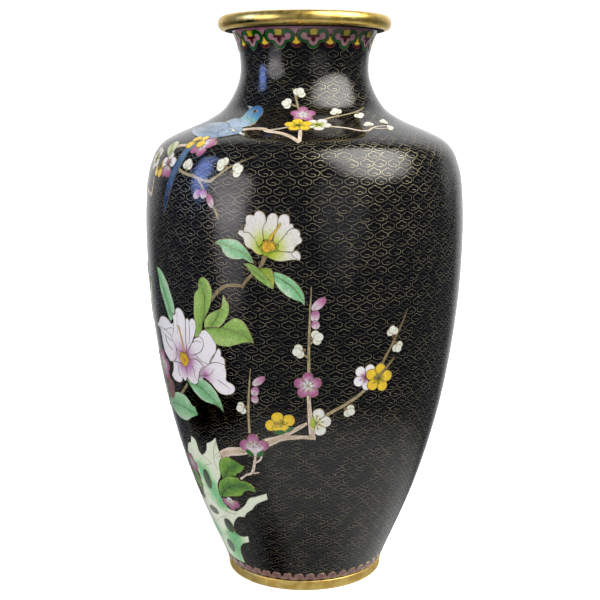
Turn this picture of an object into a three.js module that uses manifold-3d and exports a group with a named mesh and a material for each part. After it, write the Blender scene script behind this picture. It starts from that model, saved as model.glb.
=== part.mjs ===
// Cloisonne vase: a spun copper body with a brass rim and foot, turquoise enamel inside and
// under the base, and an outer coat of black enamel with coloured enamel inlays.
// Millimetres, +Z up. The origin is the centre of the foot ring's underside.
import * as THREE from "three";
import { mergeVertices } from "three/addons/utils/BufferGeometryUtils.js";
import Module from "manifold-3d";

const wasm = await Module();
wasm.setup();

// ---- Driving dimensions ----
const HEIGHT = 305;
const GAP = 0.3; // clearance between neighbouring solids
const ENAMEL = 1.0; // outer enamel coat
const COPPER = 1.2; // spun copper wall
const LINING = 0.6; // enamel inside the vase and under the base
const SIDES = 28; // flat faces round the vase
const ROWS = 15; // rows of faces from foot to rim
const ROW_BEND = 25; // millimetres of wall that count as much as one radian of bend

// The outside of the enamel from the foot ring to the rim: [radius, height].
const OUTLINE = [
  [43.4, 5.7],
  [62.3, 51.4],
  [74.8, 93.7],
  [81.6, 130.6],
  [85.5, 168.4],
  [85.9, 206.2],
  [83.2, 226.8],
  [76.7, 238.6],
  [50.6, 251.6],
  [42.4, 257.7],
  [34.8, 273.1],
  [35.4, 289.0],
  [38.9, 298.0],
];

const FOOT_RADIUS = 43.7;
const FOOT_INNER_RADIUS = 39.5;
const FOOT_HEIGHT = 5.4;
const RIM_BEAD_RADIUS = 43; // centre of the rolled bead, from the vase's axis
const RIM_BEAD_HEIGHT = 301.3;
const RIM_BEAD_WIDE = 3.2; // half widths of the bead's oval section
const RIM_BEAD_TALL = 3.7;
const MOUTH_RADIUS = 36.3;
const RIM_SEAT_HEIGHT = 299.8;

// Joints between the copper sections and the edges of the bands, as lengths up the wall.
const LOWER_JOINT = 125;
const SHOULDER_JOINT = 222;
const NECK_JOINT = 252;
const FOOT_BAND_TOP = 5.6;
const COLLAR_BOTTOM = 311.2;

const GROUND = "black_ground_enamel";

// ---- Materials ----
function enamel(color) {
  return new THREE.MeshStandardMaterial({ color, roughness: 0.12, metalness: 0 });
}

function metal(color, roughness) {
  return new THREE.MeshStandardMaterial({ color, roughness, metalness: 1 });
}

const brass = metal(0xc29a45, 0.3);
const copper = metal(0xb0714a, 0.4);
const black = enamel(0x0b0b0e);
const turquoise = enamel(0x4fb3b5);
const mauve = enamel(0x96646f);
const green = enamel(0x1f5a2c);
const leafGreen = enamel(0x74a548);
const mint = enamel(0x7cc492);
const bark = enamel(0xc9ab97);
const pink = enamel(0xb565a0);
const yellow = enamel(0xf0cc35);
const white = enamel(0xe8e4ea);
const lilac = enamel(0xd6c0d8);
const blue = enamel(0x5c90bd);
const deepBlue = enamel(0x35608c);
const rockGreen = enamel(0xb4dbb0);

// ---- The wall: lengths are measured up the enamel from the foot ring ----
const wall = new THREE.CatmullRomCurve3(OUTLINE.map(([r, z]) => new THREE.Vector3(r, z, 0)));
wall.arcLengthDivisions = 1200;
const WALL_LENGTH = wall.getLength();

// A point of the wall's section: its radius and height, moved inwards by depth.
function section(length, depth) {
  const u = THREE.MathUtils.clamp(length / WALL_LENGTH, 0, 1);
  const point = wall.getPointAt(u);
  const tangent = wall.getTangentAt(u);
  return new THREE.Vector2(point.x - tangent.y * depth, point.y + tangent.x * depth);
}

// A point at an angle in degrees round the vase (0 is the front, at -Y, and + is to +X).
function onWall(degrees, length, depth) {
  const { x: radius, y: height } = section(length, depth);
  const angle = THREE.MathUtils.degToRad(degrees);
  return new THREE.Vector3(radius * Math.sin(angle), -radius * Math.cos(angle), height);
}

// Lengths of the face rows, closer together where the wall bends. Every coat of the wall uses
// the same rows, with a row at each edge and joint, so that coats stay parallel.
const rowLengths = (() => {
  const samples = 600;
  const weights = [0];
  for (let i = 1; i <= samples; i++) {
    const before = wall.getTangentAt((i - 1) / samples);
    const bend = before.angleTo(wall.getTangentAt(i / samples));
    weights.push(weights[i - 1] + WALL_LENGTH / samples + bend * ROW_BEND);
  }
  const joints = [LOWER_JOINT, SHOULDER_JOINT, NECK_JOINT];
  const edges = [0, FOOT_BAND_TOP, ...joints, COLLAR_BOTTOM, WALL_LENGTH];
  const closest = 4;
  const lengths = [...edges];
  for (let row = 1; row < ROWS; row++) {
    const target = (row / ROWS) * weights[samples];
    const sample = weights.findIndex((weight) => weight >= target);
    const length = (sample / samples) * WALL_LENGTH;
    if (edges.every((edge) => Math.abs(edge - length) > closest)) lengths.push(length);
  }
  return lengths.sort((a, b) => a - b);
})();

// The row lengths strictly between two lengths, with both ends added.
function rowsBetween(from, to) {
  const inside = rowLengths.filter((l) => l > from + 2 * GAP && l < to - 2 * GAP);
  return [from, ...inside, to];
}

// ---- Solids ----
function solidFrom(geometry) {
  geometry.deleteAttribute("normal");
  geometry.deleteAttribute("uv");
  const merged = mergeVertices(geometry, 1e-4);
  const mesh = new wasm.Mesh({
    numProp: 3,
    vertProperties: merged.attributes.position.array,
    triVerts: new Uint32Array(merged.index.array),
  });
  return new wasm.Manifold(mesh);
}

// A closed section of [radius, height] points turned round the vase's axis.
function turned(points) {
  const closed = [...points, points[0]].map((p) => new THREE.Vector2(p.x, p.y));
  return solidFrom(new THREE.LatheGeometry(closed, SIDES).rotateX(Math.PI / 2));
}

// A coat of the wall between two depths and two lengths, lying along the wall.
function coat(outerDepth, innerDepth, from, to) {
  const lengths = rowsBetween(from, to);
  const outer = lengths.map((l) => section(l, outerDepth));
  const inner = lengths.map((l) => section(l, innerDepth)).reverse();
  return turned([...outer, ...inner]);
}

// Splits each triangle in four until no edge is longer than the limit.
function refined(points, faces, limit) {
  const tooLong = faces.some(([a, b, c]) =>
    [[a, b], [b, c], [c, a]].some(([i, j]) => points[i].distanceTo(points[j]) > limit),
  );
  if (!tooLong) return faces;
  const middles = new Map();
  const middle = (i, j) => {
    const key = Math.min(i, j) + "_" + Math.max(i, j);
    if (!middles.has(key)) {
      middles.set(key, points.length);
      points.push(points[i].clone().lerp(points[j], 0.5));
    }
    return middles.get(key);
  };
  const split = faces.flatMap(([a, b, c]) => {
    const [ab, bc, ca] = [middle(a, b), middle(b, c), middle(c, a)];
    return [[a, ab, ca], [ab, b, bc], [ca, bc, c], [ab, bc, ca]];
  });
  return refined(points, split, limit);
}

// The outline of a polygon moved inwards by a distance, corner by corner.
function inset(outline, distance) {
  const count = outline.length;
  return outline.map((point, i) => {
    const before = point.clone().sub(outline[(i + count - 1) % count]).normalize();
    const after = outline[(i + 1) % count].clone().sub(point).normalize();
    const inward = new THREE.Vector2(-before.y - after.y, before.x + after.x);
    const sharp = Math.max(inward.length() / 2, 0.5);
    return point.clone().add(inward.normalize().multiplyScalar(distance / sharp));
  });
}

// A solid that passes through the enamel coat under an outline. The outline's points are
// millimetres round from a meridian and millimetres up the wall.
function punch(meridian, outline, shrink) {
  const reach = 7; // how far the punch stands out of the enamel, and how far below it
  const longest = 42; // a longer edge would cut a corner of the round wall
  const turn = THREE.ShapeUtils.isClockWise(outline) ? [...outline].reverse() : outline;
  const points = inset(turn, shrink);
  const faces = refined(points, THREE.ShapeUtils.triangulateShape(points, []), longest);
  const count = points.length;
  const positions = [];
  for (const depth of [-reach, ENAMEL + reach]) {
    for (const { x, y } of points) {
      const degrees = meridian + THREE.MathUtils.radToDeg(x / section(y, 0).x);
      positions.push(...onWall(degrees, y, depth).toArray());
    }
  }
  const index = faces.flat();
  const edges = new Map();
  for (const [a, b, c] of faces) {
    index.push(a + count, c + count, b + count);
    for (const [i, j] of [[a, b], [b, c], [c, a]]) edges.set(i + "_" + j, [i, j]);
  }
  for (const [i, j] of edges.values()) {
    if (edges.has(j + "_" + i)) continue;
    index.push(i, j + count, j, i, i + count, j + count);
  }
  const geometry = new THREE.BufferGeometry();
  geometry.setAttribute("position", new THREE.Float32BufferAttribute(positions, 3));
  geometry.setIndex(index);
  return solidFrom(geometry);
}

// ---- Outlines, in millimetres round from a meridian and up the wall ----
function polygon(pairs) {
  return pairs.map(([x, y]) => new THREE.Vector2(x, y));
}

// A smooth closed outline through a few points.
function rounded(pairs, steps = 2) {
  const curve = new THREE.CatmullRomCurve3(
    pairs.map(([x, y]) => new THREE.Vector3(x, y, 0)),
    true,
  );
  return curve.getPoints(pairs.length * steps).slice(0, -1)
    .map(({ x, y }) => new THREE.Vector2(x, y));
}

// A flower head of round petals.
function blossom(x, y, radius, petals = 5, tilt = 90) {
  const perPetal = 4;
  const valley = 0.62;
  const outline = [];
  for (let i = 0; i < petals * perPetal; i++) {
    const turn = (i / (petals * perPetal)) * 2 * Math.PI;
    const lobe = Math.abs(Math.cos((turn * petals) / 2)) ** 0.6;
    const reach = radius * (valley + (1 - valley) * lobe);
    const angle = turn + THREE.MathUtils.degToRad(tilt);
    outline.push(new THREE.Vector2(x + reach * Math.cos(angle), y + reach * Math.sin(angle)));
  }
  return outline;
}

// A limb along a line of [x, y, width] points.
function limb(stations) {
  const points = stations.map(([x, y]) => new THREE.Vector2(x, y));
  const sides = stations.map(([, , width], i) => {
    const from = points[Math.max(i - 1, 0)];
    const to = points[Math.min(i + 1, points.length - 1)];
    const along = to.clone().sub(from).normalize();
    const across = new THREE.Vector2(-along.y, along.x).multiplyScalar(width / 2);
    return [points[i].clone().add(across), points[i].clone().sub(across)];
  });
  return [...sides.map(([left]) => left), ...sides.map(([, right]) => right).reverse()];
}

// ---- The inlays: name, enamel, meridian in degrees, outlines ----
// An inlay earlier in the list lies in front of a later one.
const inlays = [
  ["bird_body", blue, -40, [
    rounded([[-3, 281.5], [1, 280.4], [5, 281.3], [9, 278.5], [10.6, 272], [12.4, 265],
      [9, 259.8], [4, 260.2], [-2, 266], [-0.6, 273], [0.4, 277.5]]),
  ]],
  ["bird_wing", blue, -40, [
    rounded([[-5, 268.5], [0, 263], [5, 259.5], [10.5, 257.5], [13.5, 252.5], [5, 248.8],
      [-5, 247.6], [-15, 249.8], [-24, 253], [-30, 258.5], [-24, 264.5], [-14, 267.5]]),
  ]],
  ["bird_tail", deepBlue, -50, [limb([[6, 246, 5], [4.5, 241, 5], [-1, 226, 5], [-8, 207.5, 5]])]],
  ["yellow_blossom_neck", yellow, 0, [blossom(-3, 263, 7.2)]],
  ["pink_blossom_neck", pink, 0, [blossom(-0.6, 274.3, 6.6)]],
  ["white_blossom_neck", white, 0, [blossom(6.5, 263.8, 7, 5, 60)]],
  ["neck_branch", bark, 0, [
    limb([[-33, 257.5, 3], [-26, 258.5, 3], [-19, 257.5, 3.4], [-12, 254, 2.6], [-6, 249.4, 2.4],
      [-2.4, 244.5, 2.2]]),
    limb([[-2.4, 244.5, 2], [-1.9, 250, 2], [-1.6, 257, 1.8]]),
  ]],
  ["left_yellow_blossom", yellow, -60, [blossom(-5, 227, 6)]],
  ["white_peony", white, -15, [
    rounded([[-9.8, 198.8], [-6.5, 201.5], [-3.8, 207.4], [1, 209.3], [4, 206.4], [8, 208.4],
      [13.2, 208.1], [16.2, 203.5], [20.2, 200.5], [20, 194.5], [19, 191], [20.3, 186.6],
      [12, 185.8], [3, 187.8], [-2.6, 189.8], [-6, 193.2]]),
  ]],
  ["peony_folded_leaf", leafGreen, -15, [
    rounded([[-6.8, 184.4], [-1, 183], [4, 182.4], [7.4, 179.5], [7.6, 172.5], [2, 175.4],
      [-3, 179]]),
  ]],
  ["peony_left_leaf", mint, -15, [
    rounded([[-22.4, 193.8], [-17, 195.4], [-10, 195.2], [-5, 190.6], [-1.8, 184.6], [-9, 187],
      [-16.8, 186.4]]),
  ]],
  ["peony_right_leaf", mint, -15, [
    rounded([[8.2, 180.6], [14, 178.8], [19.5, 174], [22.6, 168.5], [22.4, 164.6], [16, 168.2],
      [10.5, 173]]),
  ]],
  ["peony_stem", bark, -15, [
    limb([[3.5, 189, 1.8], [0.5, 183, 1.8], [-4, 178, 1.8], [-8.6, 172, 2.2], [-16, 172.8, 1.9],
      [-22, 169.4, 1.9], [-25.4, 165.5, 1.9]]),
  ]],
  ["tall_leaf", leafGreen, -15, [
    rounded([[-38, 145.6], [-37.4, 158], [-35, 169.5], [-30.5, 175.6], [-26.2, 172.5],
      [-27, 163], [-32, 152]]),
  ]],
  ["middle_leaf", leafGreen, -15, [
    rounded([[-30.5, 151.4], [-26.5, 157.5], [-20.5, 161.5], [-18.6, 167.6], [-16, 161.5],
      [-19.5, 154.4], [-25, 151.2]]),
  ]],
  ["broad_leaf", leafGreen, -15, [
    rounded([[-27, 150], [-19.5, 151.4], [-12.5, 156.6], [-7, 153.8], [-3, 145], [-11, 145.2],
      [-18.5, 142.4], [-24, 144]]),
  ]],
  ["pink_peony", lilac, -50, [
    rounded([[-27, 145.4], [-21, 150], [-13, 151.4], [-6, 149], [-3.6, 154.6], [3, 158.2],
      [7.2, 153.4], [13, 154], [16, 147.6], [22.5, 148.6], [26.2, 140.5], [29.6, 135.8],
      [30.2, 124.5], [33.6, 119.5], [26, 116], [19.5, 120.6], [10.2, 119.6], [1, 120.6],
      [-7, 116.8], [-14.6, 119.4], [-16, 128.5], [-21, 132.5], [-22, 140]]),
  ]],
  ["peony_upper_leaf", mint, -50, [
    rounded([[-19, 176.6], [-13, 175.6], [-6.5, 169], [-2.4, 159.6], [-5.6, 151.6],
      [-11.5, 158], [-15.5, 166]]),
  ]],
  ["peony_lower_leaf", mint, -50, [
    rounded([[1.6, 119.4], [8, 122], [15.4, 121.6], [22, 116.6], [24.8, 106.6], [20, 109.2],
      [12.5, 110.2], [6, 114]]),
  ]],
  ["heart_leaf", mint, -50, [
    rounded([[5, 101], [2, 105.4], [-4, 109.6], [-12, 109.6], [-20, 106.4], [-29, 101.4],
      [-18, 95.8], [-9, 94.4], [-1, 98]]),
  ]],
  ["middle_pink_blossom", pink, 0, [blossom(1.7, 123.6, 7.2)]],
  ["middle_white_blossom", white, 0, [blossom(7, 103.6, 6.8, 5, 80)]],
  ["right_yellow_blossom", yellow, 0, [blossom(38, 125.4, 7.8)]],
  ["middle_branch", bark, 0, [
    limb([[1.8, 121, 2], [2.4, 112, 2.2], [3.4, 98, 2.6]]),
  ]],
  ["left_pink_blossom_low", pink, 0, [blossom(-25.6, 90, 7.4)]],
  ["left_yellow_blossom_low", yellow, 0, [blossom(-12.6, 103.8, 7.2)]],
  ["lower_branch", bark, 0, [
    limb([[-49, 77.5, 4.6], [-42, 82, 4.6], [-34, 85.8, 4.4], [-24, 89.4, 4.6], [-16, 93.4, 4.6],
      [-9, 95.8, 3], [0, 95.4, 2.6], [4.4, 95.2, 3]]),
    limb([[-13, 95.8, 3], [-6, 99.2, 2.6], [1.2, 102.8, 2]]),
  ]],
  ["rock_leaves", leafGreen, -40, [
    rounded([[1.2, 65.8], [0.2, 72.4], [3.6, 77.6], [9, 80], [17.4, 75.8], [15, 71.2],
      [10.6, 69.2], [8, 66]]),
    rounded([[-5, 52.4], [-4.2, 59.4], [0.4, 64.8], [6, 67.8], [14.6, 66.8], [20.2, 61],
      [13, 59.4], [8, 55.8], [2, 54]]),
  ]],
  ["scholar_rock", rockGreen, -40, [
    polygon([[-4.2, 6], [-4.4, 13], [-2, 20], [3.4, 23.6], [6.4, 28], [1.5, 27.2], [-2.6, 27.6],
      [-1.6, 34.5], [3.2, 40.6], [8.8, 42], [13, 47], [19, 53], [26.4, 57.6], [25.4, 60.6],
      [17.4, 57.4], [10.6, 50.6], [5, 46.6], [-3, 49], [-6, 56], [-1.5, 62], [0.6, 68],
      [1, 76], [4.4, 79], [2.6, 89.4], [-4.6, 86.4], [-8, 80.4], [-12.4, 77], [-15, 80.4],
      [-16, 85], [-19.4, 86], [-23.4, 79.4], [-29, 73.4], [-23.6, 66], [-25.4, 56], [-30, 46],
      [-26, 33], [-29, 20], [-24, 6]]),
  ]],
];

// ---- Building ----
const vase = new THREE.Group();
vase.name = "cloisonne_vase";

function addNode(name, solid, material) {
  const mesh = solid.getMesh();
  const geometry = new THREE.BufferGeometry();
  const positions = new Float32Array(mesh.numVert * 3);
  for (let i = 0; i < mesh.numVert; i++) {
    positions.set(mesh.vertProperties.subarray(i * mesh.numProp, i * mesh.numProp + 3), i * 3);
  }
  geometry.setAttribute("position", new THREE.BufferAttribute(positions, 3));
  geometry.setIndex(new THREE.BufferAttribute(mesh.triVerts, 1));
  geometry.computeVertexNormals();
  const node = new THREE.Mesh(geometry, material);
  node.name = name;
  vase.add(node);
}

// The largest body of a solid: slivers of enamel cut off by neighbours are left out.
function largestBody(solid) {
  return solid.decompose().reduce((a, b) => (b.volume() > a.volume() ? b : a));
}

function addMetalwork() {
  const outside = ENAMEL + GAP;
  const inside = outside + COPPER;
  const copperSections = [
    ["copper_lower_body", 0, LOWER_JOINT],
    ["copper_upper_body", LOWER_JOINT + GAP, SHOULDER_JOINT],
    ["copper_shoulder", SHOULDER_JOINT + GAP, NECK_JOINT],
    ["copper_neck", NECK_JOINT + GAP, WALL_LENGTH],
  ];
  for (const [name, from, to] of copperSections) {
    addNode(name, coat(outside, inside, from, to), copper);
  }
  const plateRadius = section(0, inside).x - GAP;
  const plateBottom = FOOT_HEIGHT + GAP;
  addNode("copper_base_plate", disc(plateRadius, plateBottom, COPPER), copper);
  addNode("foot_ring", footRing(), brass);
  addNode("rim_ring", rimRing(), brass);
}

function disc(radius, bottom, thickness) {
  return turned([
    new THREE.Vector2(0, bottom),
    new THREE.Vector2(radius, bottom),
    new THREE.Vector2(radius, bottom + thickness),
    new THREE.Vector2(0, bottom + thickness),
  ]);
}

function footRing() {
  const bevel = 0.5;
  return turned([
    new THREE.Vector2(FOOT_INNER_RADIUS, 0),
    new THREE.Vector2(FOOT_RADIUS - bevel, 0),
    new THREE.Vector2(FOOT_RADIUS, bevel),
    new THREE.Vector2(FOOT_RADIUS, FOOT_HEIGHT - bevel),
    new THREE.Vector2(FOOT_RADIUS - bevel, FOOT_HEIGHT),
    new THREE.Vector2(FOOT_INNER_RADIUS, FOOT_HEIGHT),
  ]);
}

// A rolled bead outside, with a seat inside it that rests on the end of the neck.
function rimRing() {
  const steps = 9;
  const from = -155;
  const to = 150;
  const bead = [];
  for (let i = 0; i <= steps; i++) {
    const angle = THREE.MathUtils.degToRad(from + ((to - from) * i) / steps);
    bead.push(new THREE.Vector2(
      RIM_BEAD_RADIUS + RIM_BEAD_WIDE * Math.cos(angle),
      RIM_BEAD_HEIGHT + RIM_BEAD_TALL * Math.sin(angle),
    ));
  }
  const roll = 2.4; // the bead's inner side drops by this much to the straight mouth
  return turned([
    new THREE.Vector2(MOUTH_RADIUS, RIM_SEAT_HEIGHT),
    new THREE.Vector2(RIM_BEAD_RADIUS - RIM_BEAD_WIDE, RIM_SEAT_HEIGHT),
    ...bead,
    new THREE.Vector2(MOUTH_RADIUS + 1, HEIGHT - roll),
    new THREE.Vector2(MOUTH_RADIUS, HEIGHT - roll - 1),
  ]);
}

// The cup of enamel inside the copper, open at the mouth.
function interiorLining() {
  const outside = ENAMEL + GAP + COPPER + GAP;
  const floor = FOOT_HEIGHT + GAP + COPPER + GAP;
  const firstLength = FOOT_BAND_TOP;
  const lengths = rowsBetween(firstLength, WALL_LENGTH);
  const outer = lengths.map((l) => section(l, outside));
  const inner = lengths.map((l) => section(l, outside + LINING)).reverse();
  const corner = section(firstLength, outside).x - 2;
  return turned([
    new THREE.Vector2(0, floor),
    new THREE.Vector2(corner, floor),
    ...outer,
    ...inner,
    new THREE.Vector2(corner - LINING, floor + LINING),
    new THREE.Vector2(0, floor + LINING),
  ]);
}

function addLinings() {
  addNode("interior_enamel", interiorLining(), turquoise);
  const radius = FOOT_INNER_RADIUS - GAP;
  addNode("base_enamel", disc(radius, FOOT_HEIGHT - LINING, LINING), turquoise);
}

function addBorders() {
  addNode("foot_band", coat(0, ENAMEL, 0, FOOT_BAND_TOP), mauve);
  addNode("collar_band", coat(0, ENAMEL, COLLAR_BOTTOM + GAP, WALL_LENGTH), green);
}

// The black ground with every inlay cut out of it.
function addGround() {
  const ground = coat(0, ENAMEL, FOOT_BAND_TOP + GAP, COLLAR_BOTTOM);
  const taken = [];
  for (const [name, material, meridian, outlines] of inlays) {
    const whole = wasm.Manifold.union(outlines.map((o) => punch(meridian, o, 0)));
    const inner = wasm.Manifold.union(outlines.map((o) => punch(meridian, o, GAP / 2)));
    const inFront = taken.length ? [inner, ...taken] : [inner];
    const piece = wasm.Manifold.difference(inFront).intersect(ground);
    addNode(name, largestBody(piece), material);
    taken.push(whole);
  }
  addNode(GROUND, largestBody(wasm.Manifold.difference([ground, ...taken])), black);
}

addMetalwork();
addLinings();
addBorders();
addGround();

export default vase;
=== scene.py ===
"""Looks of the cloisonne vase: smooth metal and enamel shells, and enamel inlays with gold wires.

Motifs are drawn in millimetres on the wall: x runs round from a meridian towards +X, and y runs
up the wall from the foot ring. Meridians are in degrees from the front, which faces -Y.
"""

import math
import random

import bpy
import numpy as np
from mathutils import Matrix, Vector
from mathutils.geometry import delaunay_2d_cdt


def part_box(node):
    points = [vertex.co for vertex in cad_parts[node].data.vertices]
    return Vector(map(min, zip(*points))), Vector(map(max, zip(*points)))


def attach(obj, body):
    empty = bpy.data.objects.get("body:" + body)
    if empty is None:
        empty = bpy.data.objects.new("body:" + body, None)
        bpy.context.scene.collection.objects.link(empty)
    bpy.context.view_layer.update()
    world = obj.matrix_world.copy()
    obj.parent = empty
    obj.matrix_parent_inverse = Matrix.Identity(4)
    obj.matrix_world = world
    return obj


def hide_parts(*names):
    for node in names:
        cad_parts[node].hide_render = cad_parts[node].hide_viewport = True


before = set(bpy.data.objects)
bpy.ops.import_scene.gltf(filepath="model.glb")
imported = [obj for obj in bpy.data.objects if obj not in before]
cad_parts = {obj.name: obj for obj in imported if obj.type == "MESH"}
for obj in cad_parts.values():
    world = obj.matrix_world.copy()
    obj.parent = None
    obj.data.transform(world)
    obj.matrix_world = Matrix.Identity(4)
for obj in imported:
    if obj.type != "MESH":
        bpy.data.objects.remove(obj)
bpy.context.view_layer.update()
random.seed(7)

# ---- Driving dimensions, in millimetres ----
HEIGHT = 305
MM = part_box("rim_ring")[1].z / HEIGHT  # metres in a millimetre of the frame
OUTLINE = [
    (43.4, 5.7), (62.3, 51.4), (74.8, 93.7), (81.6, 130.6), (85.5, 168.4), (85.9, 206.2),
    (83.2, 226.8), (76.7, 238.6), (50.6, 251.6), (42.4, 257.7), (34.8, 273.1), (35.4, 289.0),
    (38.9, 298.0),
]
ENAMEL = 1.0
GAP = 0.3
COPPER = 1.2
LINING = 0.6
FOOT_HEIGHT = 5.4
FOOT_RADIUS = 43.7
FOOT_INNER = 39.5
LOWER_JOINT = 125
SHOULDER_JOINT = 222
NECK_JOINT = 252
FOOT_BAND_TOP = 5.8
COLLAR_BOTTOM = 311.3
COLLAR_TOP = 321.7  # where the mauve edge above the heads starts
SEGMENTS = 256  # flats round the smooth shells
ROW_STEP = 1.15  # spacing of the rows of flats up a shell's outer side
INNER_ROW_STEP = 5.0  # and up its inner side, where fewer look as smooth
CELL_STEP = 1.15  # spacing of the points inside an enamel cell
CELL_ROWS = 0.866  # spacing of their rows, as a share of that
CELL_MARGIN = 0.45  # how near they come to the outline, as a share of that
CELL_LIFT = 0.05  # how far the lowest cells stand above the black coat
CELL_DEPTH = 0.3  # how deep a cell is set into the black coat
LAYER = 0.07  # how far each overlapping layer of a motif stands above the one behind
WIRE = 0.32  # width of a wire at its foot
WIRE_CREST = 0.55  # share of that width left at its crest
WIRE_RISE = 0.045  # height of the crest above the enamel
WIRE_FOOT = 0.12  # depth of the foot below the enamel
SCALLOPS = 46  # scallops round the foot
HEADS = 13  # ruyi heads round the collar
FIRST_HEAD = 7  # meridian of one head
SCROLL_PITCH = 7.6  # distance between the ground's scrolls, round the vase
SCROLL_ROW = 4.3  # distance between their rows
SCROLL_BANDS = 8  # pieces that the rows are shared out to
SCROLL_WIRE = 0.1  # half the width of a scroll's wire at its foot
SCROLL_FOOT = -0.01  # height of its foot from the black coat
SCROLL_CREST = 0.016  # and of its crest


# ---- Curves and the wall ----
def smooth_line(points, step=0.8, closed=False):
    """Centripetal Catmull-Rom curve through the points, sampled about every step."""
    points = np.asarray(points, float)
    count = len(points)
    if closed:
        padded = np.concatenate([points[-1:], points, points[:2]])
    else:
        padded = np.concatenate([2 * points[:1] - points[1:2], points, 2 * points[-1:] - points[-2:-1]])
    line = []
    for i in range(count if closed else count - 1):
        p0, p1, p2, p3 = padded[i : i + 4]
        d0, d1, d2 = (max(math.sqrt(np.linalg.norm(b - a)), 1e-3)
                      for a, b in ((p0, p1), (p1, p2), (p2, p3)))
        m1 = (p1 - p0) / d0 - (p2 - p0) / (d0 + d1) + (p2 - p1) / d1
        m2 = (p2 - p1) / d1 - (p3 - p1) / (d1 + d2) + (p3 - p2) / d2
        t = np.arange(max(1, math.ceil(np.linalg.norm(p2 - p1) / step)))[:, None]
        t = t / len(t)
        line.append((2 * t**3 - 3 * t**2 + 1) * p1 + (t**3 - 2 * t**2 + t) * m1 * d1
                    + (3 * t**2 - 2 * t**3) * p2 + (t**3 - t**2) * m2 * d1)
    if not closed:
        line.append(points[-1:])
    return np.concatenate(line)


wall_line = smooth_line(OUTLINE, 0.15)
wall_lengths = np.concatenate([[0], np.cumsum(np.linalg.norm(np.diff(wall_line, axis=0), axis=1))])
wall_slope = np.gradient(wall_line, wall_lengths, axis=0)
WALL_LENGTH = wall_lengths[-1]


def section(length):
    """Radius, height and outward normal of the enamel at lengths up the wall."""
    radius, height = (np.interp(length, wall_lengths, wall_line[:, k]) for k in (0, 1))
    slope_r, slope_z = (np.interp(length, wall_lengths, wall_slope[:, k]) for k in (0, 1))
    size = np.hypot(slope_r, slope_z)
    return radius, height, slope_z / size, -slope_r / size


def on_wall(meridian, points, lift):
    """Places in metres of (x, y) points of the wall, lifted off the enamel by lift."""
    radius, height, out_r, out_z = section(points[:, 1])
    angle = math.radians(meridian) + points[:, 0] / radius
    reach = radius + out_r * lift
    return np.stack([reach * np.sin(angle), -reach * np.cos(angle), height + out_z * lift], -1) * MM


def shape(*strokes, step=0.8):
    """A closed outline of smooth strokes: each runs on to the corner where the next one starts."""
    corners = [stroke[0] for stroke in strokes[1:] + strokes[:1]]
    return np.concatenate([smooth_line([*stroke, corner], step)[:-1]
                           for stroke, corner in zip(strokes, corners)])


def loop(points, step=0.8):
    """A smooth closed outline through the points."""
    return smooth_line(points, step, closed=True)


def mirrored(points):
    """Points from the line x 0 round the left side, and back to it round the right side."""
    return points + [(-x, y) for x, y in points[:0:-1]]


def disc(x, y, radius, tall=1.0, turn=0.0):
    """An oval outline."""
    count = max(10, round(2 * math.pi * radius / 0.7))
    angle = np.arange(count) / count * 2 * math.pi
    oval = np.stack([radius * np.cos(angle), radius * tall * np.sin(angle)], -1)
    c, s = toward(turn)
    return oval @ np.array([[c, s], [-s, c]]) + (x, y)


def toward(angle):
    """The direction at an angle in degrees from the x axis."""
    return np.array([math.cos(math.radians(angle)), math.sin(math.radians(angle))])


def inside(points, outline):
    """Which points lie inside a closed outline."""
    x, y = points[:, :1], points[:, 1:]
    (x1, y1), (x2, y2) = outline.T, np.roll(outline, -1, 0).T
    rise = np.where(y1 == y2, 1, y2 - y1)
    left_of = x < x1 + (y - y1) / rise * (x2 - x1)
    return (((y1 > y) != (y2 > y)) & left_of).sum(1) % 2 == 1


def distance(points, line):
    """How far the points are from an open line."""
    a, b = line[:-1], line[1:]
    span = b - a
    share = ((points[:, None] - a) * span).sum(-1) / np.maximum((span**2).sum(-1), 1e-9)
    nearest = a + np.clip(share, 0, 1)[..., None] * span
    return np.linalg.norm(points[:, None] - nearest, axis=-1).min(1)


# ---- Tints: 0 to 1 over a cell, which each enamel turns into its own colours ----
def spread(x, y, near, far):
    """0 within near of a point, rising to 1 at far."""
    return lambda p: np.clip((np.hypot(p[:, 0] - x, p[:, 1] - y) - near) / (far - near), 0, 1)


def across(start, end):
    """0 at start, rising to 1 at end."""
    start, span = np.array(start), np.array(end) - start
    return lambda p: np.clip((p - start) @ span / (span @ span), 0, 1)


def beside(line, reach):
    """0 along a line, rising to 1 at reach from it."""
    return lambda p: np.clip(distance(p, line) / reach, 0, 1)


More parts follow.
